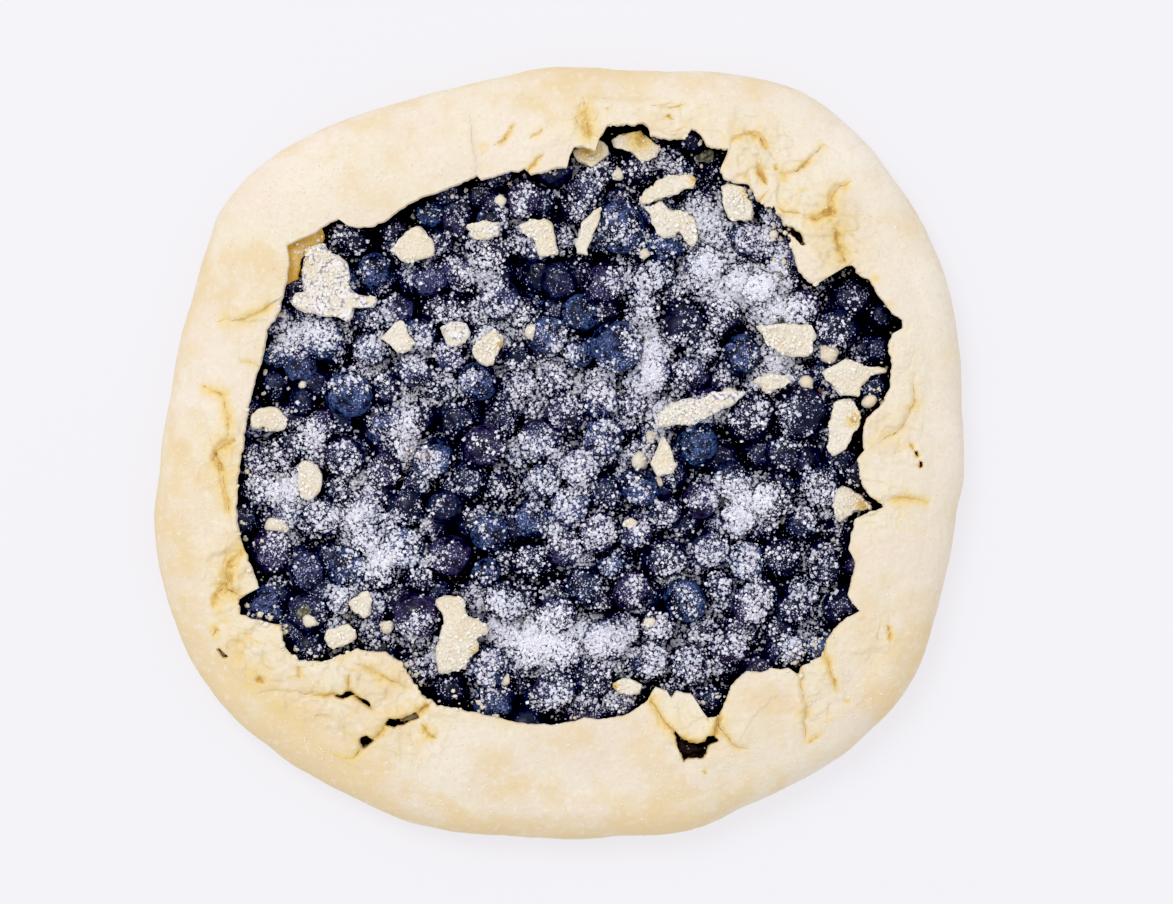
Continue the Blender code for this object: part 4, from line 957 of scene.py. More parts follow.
def spread_berries():
    """Places, widths and skins of the upper berries: the seen ones, then ones between them."""
    berries = [(*from_view((u, v)), width * PIXEL, skin)
               for skin, seen in SEEN_BERRIES.items() for u, v, width in seen]
    rng = random.Random(BERRY_SEED)
    skin_rng = random.Random(BERRY_SEED + 2)
    reach = int(max(round_edge(LIP_EDGE, 1)[1]) / FILL_STEP) + 1
    steps = [i * FILL_STEP for i in range(-reach, reach + 1)]
    tries = [place for place in itertools.product(steps, steps) if inside_lip(*place, 0.001)]
    rng.shuffle(tries)
    for width in FILL_WIDTHS:
        for x, y in tries:
            own = width * rng.uniform(0.94, 1.06)
            if all(math.hypot(x - bx, y - by) > FILL_CROWDING * (own + bw) / 2
                   for bx, by, bw, _ in berries):
                berries.append((x, y, own, skin_rng.choice(FILL_SKINS)))
    return berries


def berry_shape():
    """Points of one berry 1 wide, star end up, its faces, and how much each point is star."""
    points, star = [(0.0, 0.0, 0.43)], [0.4]
    leans = np.concatenate((STAR_LEANS, np.linspace(0.62, 2.95, BERRY_RINGS - len(STAR_LEANS))))
    for lean in leans:
        for i in range(BERRY_SIDES):
            turn = 2 * math.pi * i / BERRY_SIDES
            tooth = 0.34 + 0.05 * math.cos(5 * turn)
            raised = 0.045 * math.exp(-(((lean - tooth) / 0.06) ** 2))
            sunken = 0.07 * math.exp(-((lean / 0.22) ** 2))
            reach = 0.5 + raised - sunken
            points.append((reach * math.sin(lean) * math.cos(turn),
                           reach * math.sin(lean) * math.sin(turn),
                           BERRY_FLATNESS * reach * math.cos(lean)))
            star.append(math.exp(-((lean / 0.4) ** 4)))
    points.append((0.0, 0.0, -0.5 * BERRY_FLATNESS))
    star.append(0.0)
    faces = []
    last = len(points) - 1
    for i in range(BERRY_SIDES):
        after = (i + 1) % BERRY_SIDES
        faces.append((0, 1 + i, 1 + after))
        low = 1 + (len(leans) - 1) * BERRY_SIDES
        faces.append((last, low + after, low + i))
        for k in range(len(leans) - 1):
            a = 1 + k * BERRY_SIDES
            faces.append((a + i, a + BERRY_SIDES + i, a + BERRY_SIDES + after, a + after))
    return np.array(points), faces, np.array(star)


def turned(rng, most_lean):
    """A random turn: about the upright, then leaning over by up to an angle."""
    about = rng.uniform(0, 2 * math.pi)
    lean = rng.uniform(0.15, most_lean)
    spin = Vector((0, 0, 1)).rotation_difference(
        Vector((math.sin(lean) * math.cos(about), math.sin(lean) * math.sin(about), math.cos(lean))))
    return np.array(spin.to_matrix())


def joined(parts):
    """Points and faces of parts, given as points and faces, as one list of each."""
    points, faces, passed = [], [], 0
    for part_points, part_faces in parts:
        points.extend(part_points)
        faces.extend(tuple(corner + passed for corner in face) for face in part_faces)
        passed += len(part_points)
    return points, faces


def solid_tree(*meshes):
    """What a ray from above meets: the surfaces of some meshes as one search tree."""
    return BVHTree.FromPolygons(*joined(
        ([v.co.copy() for v in mesh.vertices], [face.vertices for face in mesh.polygons])
        for mesh in meshes))


def drop(tree, x, y):
    """The place where a ray from above meets a search tree, if it does."""
    return tree.ray_cast(Vector((x, y, 0.1)), Vector((0, 0, -1)))[0]


def build_berries(name, berries, rng):
    """One mesh of many berries, each (x, y, centre height, width, skin), and their sugar shares."""
    shape, faces, star = berry_shape()
    parts, bloom, violet, shares = [], [], [], []
    for number, (x, y, level, width, skin) in enumerate(berries):
        spin = turned(rng, math.radians(75)) if rng.random() < 0.5 else turned(rng, math.pi)
        squeezed = np.array((1.0, rng.uniform(0.94, 1.0), 1.0))
        body = (shape * squeezed) @ spin.T
        flat = body * np.array((1.0, 1.0, 0.95))
        dented = flat * (1 + DENT * bumpy(flat, 0.45, number + 30))[:, None]
        parts.append((dented * width + np.array((x, y, level)), faces))
        own_bloom, own_violet = SKINS[skin]
        bloom.append(own_bloom + rng.uniform(-0.1, 0.15))
        violet.append(own_violet + rng.uniform(-0.15, 0.15))
        shares.append(rng.uniform(*SUGARED[skin]))
    points, faces = joined(parts)
    mesh = make_mesh(name, points, faces)
    x, y, _ = np.array(points).T
    sugared = np.repeat(shares, len(shape)) * (1 - spots(x, y, BARE_PLACES))
    paint(mesh, "sugared", LEAST_DUST + (1 - LEAST_DUST) * sugared)
    paint(mesh, "bloom", np.clip(np.repeat(bloom, len(shape)), 0, 1))
    paint(mesh, "violet", np.clip(np.repeat(violet, len(shape)), 0, 1))
    paint(mesh, "star", np.tile(star, len(berries)))
    return mesh, np.array(shares)


def sugar_effect():
    """Node group: fine sugar dust that lies on what faces up, as a share and a colour."""
    tree, given = new_group("fine sugar dust", {"Place": "Vector", "Amount": "Float"},
                            {"Share": "Float", "Colour": "Color"})
    place = given["Place"]
    speck = add_node(tree, "TexVoronoi", {"Vector": place, "Scale": 1 / DUST_CELL}, feature="F1")
    near = stretch(tree, speck.outputs["Distance"], 0.26, 0.5, 1.0, 0.0)
    own = add_node(tree, "SeparateColor", {"Color": speck.outputs["Color"]}).outputs
    drifts = stretch(tree, mottle(tree, place, 0.007, 3.0), 0.34, 0.58, 0.15, 1.0)
    normal = add_node(tree, "NewGeometry").outputs["Normal"]
    up = add_node(tree, "SeparateXYZ", {"Vector": normal}).outputs[2]
    lies = stretch(tree, up, 0.4, 0.95)
    amount = times(tree, given["Amount"], times(tree, drifts, lies))
    has_speck = arithmetic(tree, "LESS_THAN", own[0], amount)
    feed(tree, tree.nodes.new("NodeGroupOutput"), {
        "Share": times(tree, has_speck, near), "Colour": blend(tree, own[1], *DUST_TONES)})
    return tree


fine_sugar_dust = sugar_effect()


def berry_skin():
    """Blueberry skin: near black under a pale blue bloom, reddish violet on the riper ones."""
    material, tree, surface, place = new_material("blueberry skin")
    patches = stretch(tree, mottle(tree, place, 0.004, 5.0), 0.38, 0.6)
    fine = stretch(tree, mottle(tree, place, 0.0007), 0.38, 0.62, 0.1, 1.25)
    waxy = times(tree, times(tree, patches, fine), painted(tree, "bloom"))
    violet = painted(tree, "violet")
    colour = blend(tree, waxy, blend(tree, violet, *NAKED_SKINS), blend(tree, violet, *BLOOMY_SKINS))
    star = stretch(tree, painted(tree, "star"), 0.3, 0.9, 0.0, 0.8)
    colour = blend(tree, star, colour, STAR_COLOUR)
    dust = add_node(tree, "Group", {"Place": place, "Amount": painted(tree, "sugared")},
                    node_tree=fine_sugar_dust).outputs
    gloss = stretch(tree, waxy, 0.0, 0.8, 0.3, 0.62)
    feed(tree, surface, {
        "Base Color": blend(tree, dust["Share"], colour, dust["Colour"]),
        "Roughness": arithmetic(tree, "MAXIMUM", gloss, dust["Share"]), "Specular IOR Level": 0.22,
        "Normal": relief(tree, dust["Share"], 0.0003, 0.5)})
    return material


def shaded_bed():
    """The near-black bottom between the berries: painted shade deep in the gaps."""
    material, tree, surface, place = new_material("bed in painted shade")
    tone = mottle(tree, place, 0.004)
    feed(tree, surface, {
        "Base Color": blend(tree, tone, *BED_SHADE_COLOURS), "Roughness": 0.5,
        "Specular IOR Level": 0.1, "Normal": relief(tree, tone, 0.001, 0.6)})
    return material


def build_bed():
    """The bottom of the heap: a low dark body that fills the folded dough."""
    bearing = even_bearings(120)
    outer = fold_radius(bearing)
    base = DOUGH + BED_RISE
    rings = [ring_at(bearing, outer - 0.01, base), ring_at(bearing, outer - 0.006, FOLD_MID_HEIGHT),
             ring_at(bearing, outer - 0.01, BED_HEIGHT)]
    rings += [ring_at(bearing, outer * share, BED_HEIGHT) for share in (0.85, 0.7, 0.5, 0.25)]
    return lathe_mesh("bed", rings, (0, 0, base), (0, 0, BED_HEIGHT + 0.001))


berry_rng = random.Random(BERRY_SEED + 3)
packed_heap = solid_tree(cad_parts["berry_filling"].data)
upper_berries = []
for berry_x, berry_y, berry_width, skin in spread_berries():
    top = drop(packed_heap, berry_x, berry_y).z
    level = top - 0.5 * UNDER_PACKED_TOP * BERRY_FLATNESS * berry_width
    clear_of_ledge = outside_by(berry_x, berry_y, LEDGE) > 0.001
    if clear_of_ledge and level > DOUGH + 0.5 * BERRY_FLATNESS * berry_width:
        upper_berries.append((berry_x, berry_y, level, berry_width, skin))
berries_mesh, sugar_shares = build_berries("berries", upper_berries, berry_rng)
skin_material = berry_skin()
berries = add_piece("blueberries", berries_mesh, skin_material)
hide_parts("berry_filling")

lower_berries = []
for row, column in itertools.product(LOWER_ROWS, LOWER_COLUMNS):
    berry_x = (column + 0.5 * (row % 2)) * LOWER_SPACING + berry_rng.uniform(-0.001, 0.001)
    berry_y = row * LOWER_SPACING * LOWER_ROW_SPACING + berry_rng.uniform(-0.001, 0.001)
    if inside_lip(berry_x, berry_y, -0.004):
        level = BED_HEIGHT + berry_rng.uniform(-0.0005, 0.0015)
        lower_berries.append((berry_x, berry_y, level, berry_rng.uniform(0.012, 0.0145), "dark"))
lower_mesh, _ = build_berries("lower berries", lower_berries, berry_rng)
add_piece("blueberries_below", lower_mesh, skin_material)
bed_mesh = build_bed()
add_piece("shaded_bed", bed_mesh, shaded_bed())


# ------------------------------------------------------------------ scraps of dough
# Torn flakes of the same shortcrust, 2 to 4 mm thick, that broke off while it was folded and
# lie on the fruit. Each is the imported scrap with its faces made finer, its edges crumbled and
# its top roughened. Some hide under sugar; those tucked under the lip get a painted ochre shade.
SCRAP_CELL = 0.00036
SCRAP_SEED = 60
TOP_WIDENED = 1.17  # how much wider a scrap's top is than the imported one's
SCRAP_SWELL = 0.0003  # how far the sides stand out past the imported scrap's
CRUMBLED_WIDTHS = (0.004, 0.0018, 0.0008)
SHADE_STRENGTH = 0.85
SCRAP_COLOURS = ((0.86, 0.8, 0.69), (0.83, 0.72, 0.53))
SCRAP_SUGAR_GRAIN = 0.001
SCRAP_SUGAR = ((0.82, 0.79, 0.8), (0.95, 0.93, 0.93))
# Painted shade in the gaps between sugar grains on a scrap.
SUGAR_GAP_SHADE = (0.36, 0.31, 0.36)
SUGARED_SCRAPS = {
    "scrap_corner": 0.56, "scrap_bar": 0.55, "scrap_wing": 0.42, "scrap_lump": 0.55,
    "scrap_top_left": 0.5, "scrap_saddle": 0.25, "scrap_wing_arm": 0.15, "scrap_slab_foot": 0.4,
}
# Ochre shade on some scraps: across, down and radius in pixels of the view.
SHADED_SCRAPS = {
    "scrap_curl": (590, 152, 11), "scrap_notch": (640, 139, 13), "scrap_corner": (304, 256, 12),
    "scrap_tab": (745, 196, 6), "scrap_brick": (500, 345, 5), "scrap_wing_arm": (694, 182, 5),
    "scrap_strap_foot": (852, 420, 7), "scrap_right_lip": (862, 503, 7), "scrap_saddle": (474, 648, 5),
    "scrap_plug": (614, 686, 6),
}


def scrap_dough():
    """Raw dough a little greyer than the crust, white where sugar lies thick on it."""
    material, tree, surface, place = new_material("dough scrap")
    pale, warm = SCRAP_COLOURS
    # The ochre mark gives the scraps under the lip a painted ochre shade.
    dough = raw_dough(tree, place, (*pale, 1), warm, 0.35, painted(tree, "ochre"), 0.6)
    edge = mottle(tree, place, 0.0025, 4.0)
    covered = stretch(tree, plus(tree, edge, painted(tree, "sugar")), 0.95, 1.12)
    grains = add_node(tree, "TexVoronoi", {"Vector": place, "Scale": 1 / SCRAP_SUGAR_GRAIN}, feature="F1")
    # Painted shade darkens the gaps between the sugar grains.
    between = stretch(tree, grains.outputs["Distance"], 0.56, 0.72)
    white = blend(tree, mottle(tree, place, 0.0008), *SCRAP_SUGAR)
    white = blend(tree, between, white, SUGAR_GAP_SHADE)
    height = plus(tree, dough["Relief"], arithmetic(tree, "SUBTRACT", covered, between))
    feed(tree, surface, {
        "Base Color": blend(tree, covered, dough["Colour"], white), "Roughness": dough["Roughness"],
        "Specular IOR Level": 0.3, "Normal": relief(tree, height, 0.0004, 0.6)})
    return material


def points_of(mesh):
    return np.array([v.co for v in mesh.vertices])


def widened_top(mesh):
    """A copy of a packed scrap with its top nearly as wide as its middle."""
    copy = mesh.copy()
    points = points_of(copy)
    middle = np.unique(np.round(points, 6), axis=0).mean(axis=0)
    top = points[:, 2] > points[:, 2].max() - 0.0005
    points[top, :2] = middle[:2] + TOP_WIDENED * (points[top, :2] - middle[:2])
    copy.vertices.foreach_set("co", points.ravel())
    return copy


def crumbled(mesh, name, cell, seed):
    """A mesh made again with finer faces and torn, roughened sides."""
    rough = add_object(name, mesh)
    finer = rough.modifiers.new("finer", "REMESH")
    finer.mode = "VOXEL"
    finer.voxel_size = cell
    soften = rough.modifiers.new("soften", "SMOOTH")
    soften.iterations = 1
    graph = bpy.context.evaluated_depsgraph_get()
    made = bpy.data.meshes.new_from_object(rough.evaluated_get(graph))
    bpy.data.objects.remove(rough)
    points = points_of(made)
    moved = points + SCRAP_SWELL * np.array([(v.normal.x, v.normal.y, 0.0) for v in made.vertices])
    for axis, strength in enumerate((1.0, 1.0, 0.5)):
        broad, narrow, fine = (bumpy(points, across, seed + 3 * i + axis)
                               for i, across in enumerate(CRUMBLED_WIDTHS))
        moved[:, axis] += strength * (0.00042 * np.tanh(4 * broad) + 0.00022 * np.tanh(4 * narrow)
                                      + 0.00012 * fine)
    made.vertices.foreach_set("co", moved.ravel())
    made.update()
    return made


scrap_material = scrap_dough()
scrap_meshes = []
for number, name in enumerate(sorted(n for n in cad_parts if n.startswith("scrap_"))):
    packed = widened_top(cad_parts[name].data)
    scrap_mesh = crumbled(packed, name, SCRAP_CELL, SCRAP_SEED + 9 * number)
    x, y, _ = points_of(scrap_mesh).T
    # Scraps under the lip get a painted ochre shade.
    shades = [(*SHADED_SCRAPS[name], SHADE_STRENGTH)] if name in SHADED_SCRAPS else []
    paint(scrap_mesh, "ochre", spots(x, y, shades))
    paint(scrap_mesh, "sugar", np.full(x.shape, SUGARED_SCRAPS.get(name, 0.0)))
    scrap = add_piece("torn_" + name, scrap_mesh, scrap_material)
    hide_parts(name)
    scrap_meshes.append(scrap_mesh)


# ------------------------------------------------------------------ crumbs and shreds
# Crumbs of dough on the fruit and along the torn lip, and a few dry bits of stalk and leaf
# that came with the berries. Crumbs are small uneven lumps that lie on whatever is below.
CRUMBS = [
    (501, 202, 12), (532, 332, 14), (649, 436, 14), (827, 353, 20), (617, 174, 15), (772, 235, 11),
    (311, 621, 15), (345, 616, 11), (388, 626, 14), (505, 678, 12), (630, 523, 12), (649, 622, 14),
    (868, 401, 15), (304, 386, 12), (278, 527, 22), (804, 384, 17), (659, 481, 11), (640, 462, 20),
    (644, 254, 11),
]
CRUMB_TALL = 0.55  # height of a crumb against its width
LIP_CRUMBS = 230
LIP_CRUMB_START = 0.0012  # out from the lip, where they begin
LIP_CRUMB_STRAY = 0.0035  # how far in from there they lie
LIP_CRUMB_SIZES = (0.0007, 0.0009, 0.0011, 0.0014, 0.002)
CRUMB_COLOURS = ((0.86, 0.79, 0.67), (0.82, 0.7, 0.5))
# Golden ochre of the ledge under the lip: painted shade.
LEDGE_SHADE_COLOURS = ((0.86, 0.58, 0.12), (0.72, 0.38, 0.03))
LEDGE_LEVEL = 0.0158  # underside of the ledge
LEDGE_THICKNESS = 0.0045
LEDGE_CELL = 0.0005
BIT_THICKNESS = 0.0018
CRUMB_SEED, LEDGE_SEED, BIT_SEED = 400, 860, 900
# Bits of stalk and leaf: across, down, length and width in pixels, turn in degrees.
BROWN_BITS = [
    (411, 454, 12, 7, 20), (426, 456, 12, 8, -15), (822, 391, 12, 9, 40),
]
OLIVE_BITS = [
    (706, 156, 15, 11, 20), (306, 610, 13, 8, 30), (647, 622, 13, 10, 70), (782, 520, 14, 7, 10),
    (667, 671, 7, 6, 0), (777, 277, 14, 10, 100),
]
BROWN_COLOURS = ((0.12, 0.05, 0.02), (0.42, 0.24, 0.13))
OLIVE_COLOURS = ((0.06, 0.06, 0.035), (0.26, 0.25, 0.15))


def lump_mesh(name, lumps, seed, sharpness):
    """One mesh of small uneven lumps, each (place, width, depth, height, turn)."""
    ball = bmesh.new()
    bmesh.ops.create_icosphere(ball, subdivisions=2, radius=0.5)
    shape = np.array([v.co for v in ball.verts])
    faces = [tuple(v.index for v in face.verts) for face in ball.faces]
    ball.free()
    parts = []
    for number, (place, width, depth, height, turn) in enumerate(lumps):
        c, s = math.cos(turn), math.sin(turn)
        rough = shape * (1 + sharpness * bumpy(shape, 0.55, seed + 2 * number)
                         + 0.4 * sharpness * bumpy(shape, 0.25, seed + 2 * number + 1))[:, None]
        sized = rough * np.array((width, depth, height))
        spun = np.stack((sized[:, 0] * c - sized[:, 1] * s, sized[:, 0] * s + sized[:, 1] * c,
                         sized[:, 2]), axis=1)
        parts.append((spun + np.array(place), faces))
    return make_mesh(name, *joined(parts))


def crumb_dough(name, pale, warm):
    """The scraps' dough without sugar."""
    material, tree, surface, place = new_material(name)
    dough = raw_dough(tree, place, (*pale, 1), warm, 0.4, 0.0, 0.6)
    feed(tree, surface, {
        "Base Color": dough["Colour"], "Roughness": dough["Roughness"],
        "Normal": relief(tree, dough["Relief"], 0.0003, 0.5)})
    return material


def prism_mesh(name, outline, base, thickness):
    """A flat slice of dough with an outline given in pixels."""
    body = bmesh.new()
    foot, top = ([body.verts.new((*from_view(p), level)) for p in outline]
                 for level in (base, base + thickness))
    body.faces.new(foot)
    body.faces.new(top)
    for i in range(len(outline)):
        after = (i + 1) % len(outline)
        body.faces.new((foot[i], foot[after], top[after], top[i]))
    bmesh.ops.triangulate(body, faces=body.faces[:])
    bmesh.ops.recalc_face_normals(body, faces=body.faces[:])
    mesh = bpy.data.meshes.new(name)
    body.to_mesh(mesh)
    body.free()
    return mesh


def dry_bit(name, dark, pale):
    material, tree, surface, place = new_material(name)
    tone = stretch(tree, mottle(tree, place, 0.0012, 3.0), 0.4, 0.6)
    feed(tree, surface, {"Base Color": blend(tree, tone, dark, pale), "Roughness": 0.6})
    return material


heap = solid_tree(berries_mesh, lower_mesh, bed_mesh, *scrap_meshes)
crust_tree = solid_tree(crust_mesh)
crumb_rng = random.Random(BERRY_SEED + 4)
crumbs = []
for u, v, width in CRUMBS:
    x, y = from_view((u, v))
    size = width * PIXEL
    level = drop(heap, x, y).z + 0.22 * CRUMB_TALL * size
    crumbs.append(((x, y, level), size, size * crumb_rng.uniform(0.7, 0.95),
                   CRUMB_TALL * size, crumb_rng.uniform(0, math.pi)))
while len(crumbs) < len(CRUMBS) + LIP_CRUMBS:
    bearing = crumb_rng.uniform(-math.pi, math.pi)
    inside = abs(crumb_rng.gauss(0, LIP_CRUMB_STRAY))
    radius = float(lip_radius(np.array([bearing]))[0]) - inside + LIP_CRUMB_START
    x, y = radius * math.cos(bearing), radius * math.sin(bearing)
    where_crumbly = float(spots(np.array([x]), np.array([y]), CRUMBLY_PLACES)[0])
    if crumb_rng.random() < 0.12 + where_crumbly:
        size = crumb_rng.choice(LIP_CRUMB_SIZES)
        found = [place for place in (drop(heap, x, y), drop(crust_tree, x, y)) if place]
        level = max(place.z for place in found) + 0.2 * size
        crumbs.append(((x, y, level), size, size * crumb_rng.uniform(0.6, 0.9), 0.6 * size,
                       crumb_rng.uniform(0, math.pi)))
crumbs_mesh = lump_mesh("crumbs", crumbs, CRUMB_SEED, 0.45)
add_piece("dough_crumbs", crumbs_mesh, crumb_dough("dough crumb", *CRUMB_COLOURS))

# The ledge under the lip is painted golden ochre, a painted shade.
ledge_slice = prism_mesh("ledge", LEDGE, LEDGE_LEVEL, LEDGE_THICKNESS)
ledge_mesh = crumbled(ledge_slice, "ledge", LEDGE_CELL, LEDGE_SEED)
ledge_shade_dough = crumb_dough("ledge dough in painted shade", *LEDGE_SHADE_COLOURS)
add_piece("dough_under_the_lip", ledge_mesh, ledge_shade_dough)

bits_meshes = []
for name, bits, colours in (("brown_stalk_bits", BROWN_BITS, BROWN_COLOURS),
                            ("olive_leaf_bits", OLIVE_BITS, OLIVE_COLOURS)):
    lumps = []
    for u, v, length, width, turn in bits:
        x, y = from_view((u, v))
        place = (x, y, drop(heap, x, y).z + 0.0002)
        lumps.append((place, length * PIXEL, width * PIXEL, BIT_THICKNESS, math.radians(turn)))
    bits_mesh = lump_mesh(name, lumps, BIT_SEED, 1.0)
    bits_meshes.append(bits_mesh)
    add_piece(name, bits_mesh, dry_bit(name.replace("_", " "), *colours), smooth=False)


# ------------------------------------------------------------------ sugar drifts
# White granulated sugar heaped by the spoon on the fruit. Where it lies deep it fills the
# valleys between the berries and buries some: a granular blanket that follows the heap below,
# smoothed, and rises where a spoonful fell.
FRUIT_REACH = 0.104  # the farthest fruit from the middle
DRIFT_CELL = 0.0005
DRIFT_SOFTNESS = 0.0045  # how far the blanket smooths over the heap
DRIFT_SINK = 0.0036  # how far a thin blanket lies below the smoothed heap
DRIFT_DEPTH = 0.0064
MOST_OVER_HEAP = 0.003
LEAST_DEPTH = 0.15  # of a spoonful that makes a drift
DRIFT_LUMPS = [(0.00036, 0.001, 951), (0.0003, 0.0018, 953), (0.0005, 0.0036, 952)]
DRIFT_WHITE = (1.0, 0.995, 1.0)
# Painted lilac shade for the hollows between grains, a tint for patches, and near-black painted shade for
# the gaps.
DRIFT_HOLLOW_SHADE = (0.4, 0.39, 0.57)
DRIFT_PATCHES = (0.88, 0.87, 0.98)
DRIFT_GAP_SHADE = (0.015, 0.015, 0.04)
DRIFT_GRAIN = 0.0009
# Spoonfuls: across, down and half widths in pixels, and how deep (1 is deepest).
SPOONFULS = [
    (735, 288, 50, 20, 1.0), (542, 637, 39, 34, 1.0), (385, 560, 20, 20, 0.9), (690, 413, 36, 12, 0.95),
    (480, 265, 20, 28, 0.5), (318, 335, 32, 15, 0.75), (405, 425, 13, 40, 0.6), (755, 500, 28, 22, 0.7),
    (355, 525, 15, 34, 0.6), (280, 488, 30, 20, 0.75), (312, 434, 13, 18, 0.6),
    (650, 350, 11, 46, 0.85), (705, 222, 28, 30, 0.6), (785, 310, 26, 20, 0.85),
    (640, 455, 20, 12, 0.45), (455, 315, 24, 14, 0.3), (560, 660, 18, 26, 0.4), (585, 385, 34, 18, 0.3),
    (530, 400, 22, 18, 0.35), (712, 560, 26, 30, 0.15), (610, 655, 26, 22, 0.4),
    (440, 640, 14, 14, 0.3), (287, 530, 16, 22, 0.5), (362, 478, 20, 22, 0.45),
    (715, 258, 30, 20, 0.55), (772, 368, 22, 22, 0.6), (672, 575, 18, 16, 0.35),
    (420, 560, 26, 18, 0.5), (325, 520, 22, 20, 0.4), (515, 325, 26, 18, 0.4), (372, 375, 20, 18, 0.4),
]


def spoonful_depth(x, y):
    """How deep sugar was heaped at each point, 0 to 1."""
    deep = np.zeros(x.shape)
    for u, v, half_width, half_height, depth in SPOONFULS:
        cx, cy = from_view((u, v))
        away = np.hypot((x - cx) / (half_width * PIXEL), (y - cy) / (half_height * PIXEL))
        deep = np.maximum(deep, depth * np.exp(-((away / 1.05) ** 2.4)))
    return deep * (1 - spots(x, y, BARE_PLACES))


def smoothed(heights, cells):
    """A grid of heights averaged over about that many cells each way."""
    reach = int(3 * cells)
    weights = bell(np.arange(-reach, reach + 1), cells)
    weights /= weights.sum()
    for axis in (0, 1):
        heights = np.apply_along_axis(np.convolve, axis, heights, weights, mode="same")
    return heights


def read_heap():
    """Heights of the heap on a grid inside the lip, with the grid's X and Y."""
    line = np.arange(-FRUIT_REACH, FRUIT_REACH, DRIFT_CELL)
    x, y = np.meshgrid(line, line, indexing="ij")
    level = np.full(x.shape, BED_HEIGHT)
    for index in zip(*np.nonzero(np.hypot(x, y) < lip_radius(np.arctan2(y, x)) - 0.0008)):
        place = drop(heap, x[index], y[index])
        level[index] = place.z if place else BED_HEIGHT
    return x, y, level


def build_drifts(x, y, ground_level, softened):
    """The parts of the blanket that stand above the heap, as one sheet."""
    flat = on_ground(x, y)
    deep = spoonful_depth(x, y) * (0.86 + 0.3 * bumpy(flat, 0.006, 950))
    blanket = softened - DRIFT_SINK + DRIFT_DEPTH * deep + layered(flat, DRIFT_LUMPS)
    kept = (deep > LEAST_DEPTH) & (blanket > ground_level - 0.0008)
    blanket = np.minimum(blanket, ground_level + MOST_OVER_HEAP)
    used = np.zeros(x.shape, bool)
    whole = list(zip(*np.nonzero(kept[:-1, :-1] & kept[1:, :-1] & kept[1:, 1:] & kept[:-1, 1:])))
    for i, j in whole:
        used[i:i + 2, j:j + 2] = True
    number = np.full(x.shape, -1)
    number[used] = np.arange(used.sum())
    faces = [(int(number[i, j]), int(number[i + 1, j]), int(number[i + 1, j + 1]),
              int(number[i, j + 1])) for i, j in whole]
    mesh = make_mesh("drifts", np.stack((x[used], y[used], blanket[used]), axis=1), faces)
    paint(mesh, "thick", np.clip(deep[used], 0, 1))
    return mesh


def heaped_sugar():
    """Packed white sugar: bright grains with painted lilac shade in the hollows between them and
    near-black painted shade in the gaps.
    """
    material, tree, surface, place = new_material("heaped sugar")
    cells = add_node(tree, "TexVoronoi", {"Vector": place, "Scale": 1 / DRIFT_GRAIN}, feature="F1")
    distance = cells.outputs["Distance"]
    tint = blend(tree, stretch(tree, distance, 0.35, 0.85), DRIFT_WHITE, DRIFT_HOLLOW_SHADE)
    patch = stretch(tree, mottle(tree, place, 0.006, 3.0), 0.5, 0.75, 0.0, 0.35)
    colour = blend(tree, patch, tint, DRIFT_PATCHES)
    gap_start = plus(tree, 0.26, times(tree, painted(tree, "thick"), 0.44))
    past_gap = arithmetic(tree, "SUBTRACT", distance, gap_start)
    feed(tree, surface, {
        "Base Color": blend(tree, stretch(tree, past_gap, 0.0, 0.1), colour, DRIFT_GAP_SHADE),
        "Roughness": 0.45, "Normal": relief(tree, distance, 0.0005, 0.8, invert=True)})
    return material


grid_x, grid_y, heap_level = read_heap()
soft_level = smoothed(heap_level, DRIFT_SOFTNESS / DRIFT_CELL)
drifts_mesh = build_drifts(grid_x, grid_y, heap_level, soft_level)
add_piece("sugar_drifts", drifts_mesh, heaped_sugar())


# ------------------------------------------------------------------ sugar grains
# Loose crystals, 0.2 to 1 mm, sprinkled over the fruit so that they lie on all that faces
# up, thick near the drifts and thin elsewhere, with some on the dough. The coarse ones are
# small uneven boxes, the fine ones have eight sides and the finest have four.
COARSE_GRAINS = 14000
FINE_GRAINS = 22000
SPECKS = 42000
CRUST_GRAINS = 1500
BETWEEN_BERRIES = 0.6  # how thickly what lies between the berries is sugared
LIP_SHADE_REACH = 0.0045  # how far in from the lip fewer grains lie, keeping dark the band that the lip shades
KEPT_ON_DOUGH = 0.5  # share of the grains falling on dough that stay there
DOUGH_REACH = 0.134  # the farthest dough from the middle
CLEAR_OF_EDGE = 0.006  # how far in from the outer edge sugar fell
CLUMPS = [(0.7, 0.012, 960), (0.6, 0.0038, 961)]
DIM_ON_FRUIT = ((0.09, 0.13, 0.34), (0.19, 0.12, 0.31))
BRIGHT_ON_FRUIT = (0.95, 0.945, 1.0)
TONES_ON_DOUGH = ((0.84, 0.75, 0.6), (0.95, 0.91, 0.84))
# Where sugar dusts the dough: across, down and radius in pixels, and how much.
DUSTED_DOUGH = [
    (300, 200, 60, 1.0), (420, 810, 60, 1.0), (720, 790, 70, 0.7), (870, 700, 70, 0.8),
    (190, 510, 50, 0.6), (300, 780, 50, 0.8), (920, 350, 60, 0.4),
]
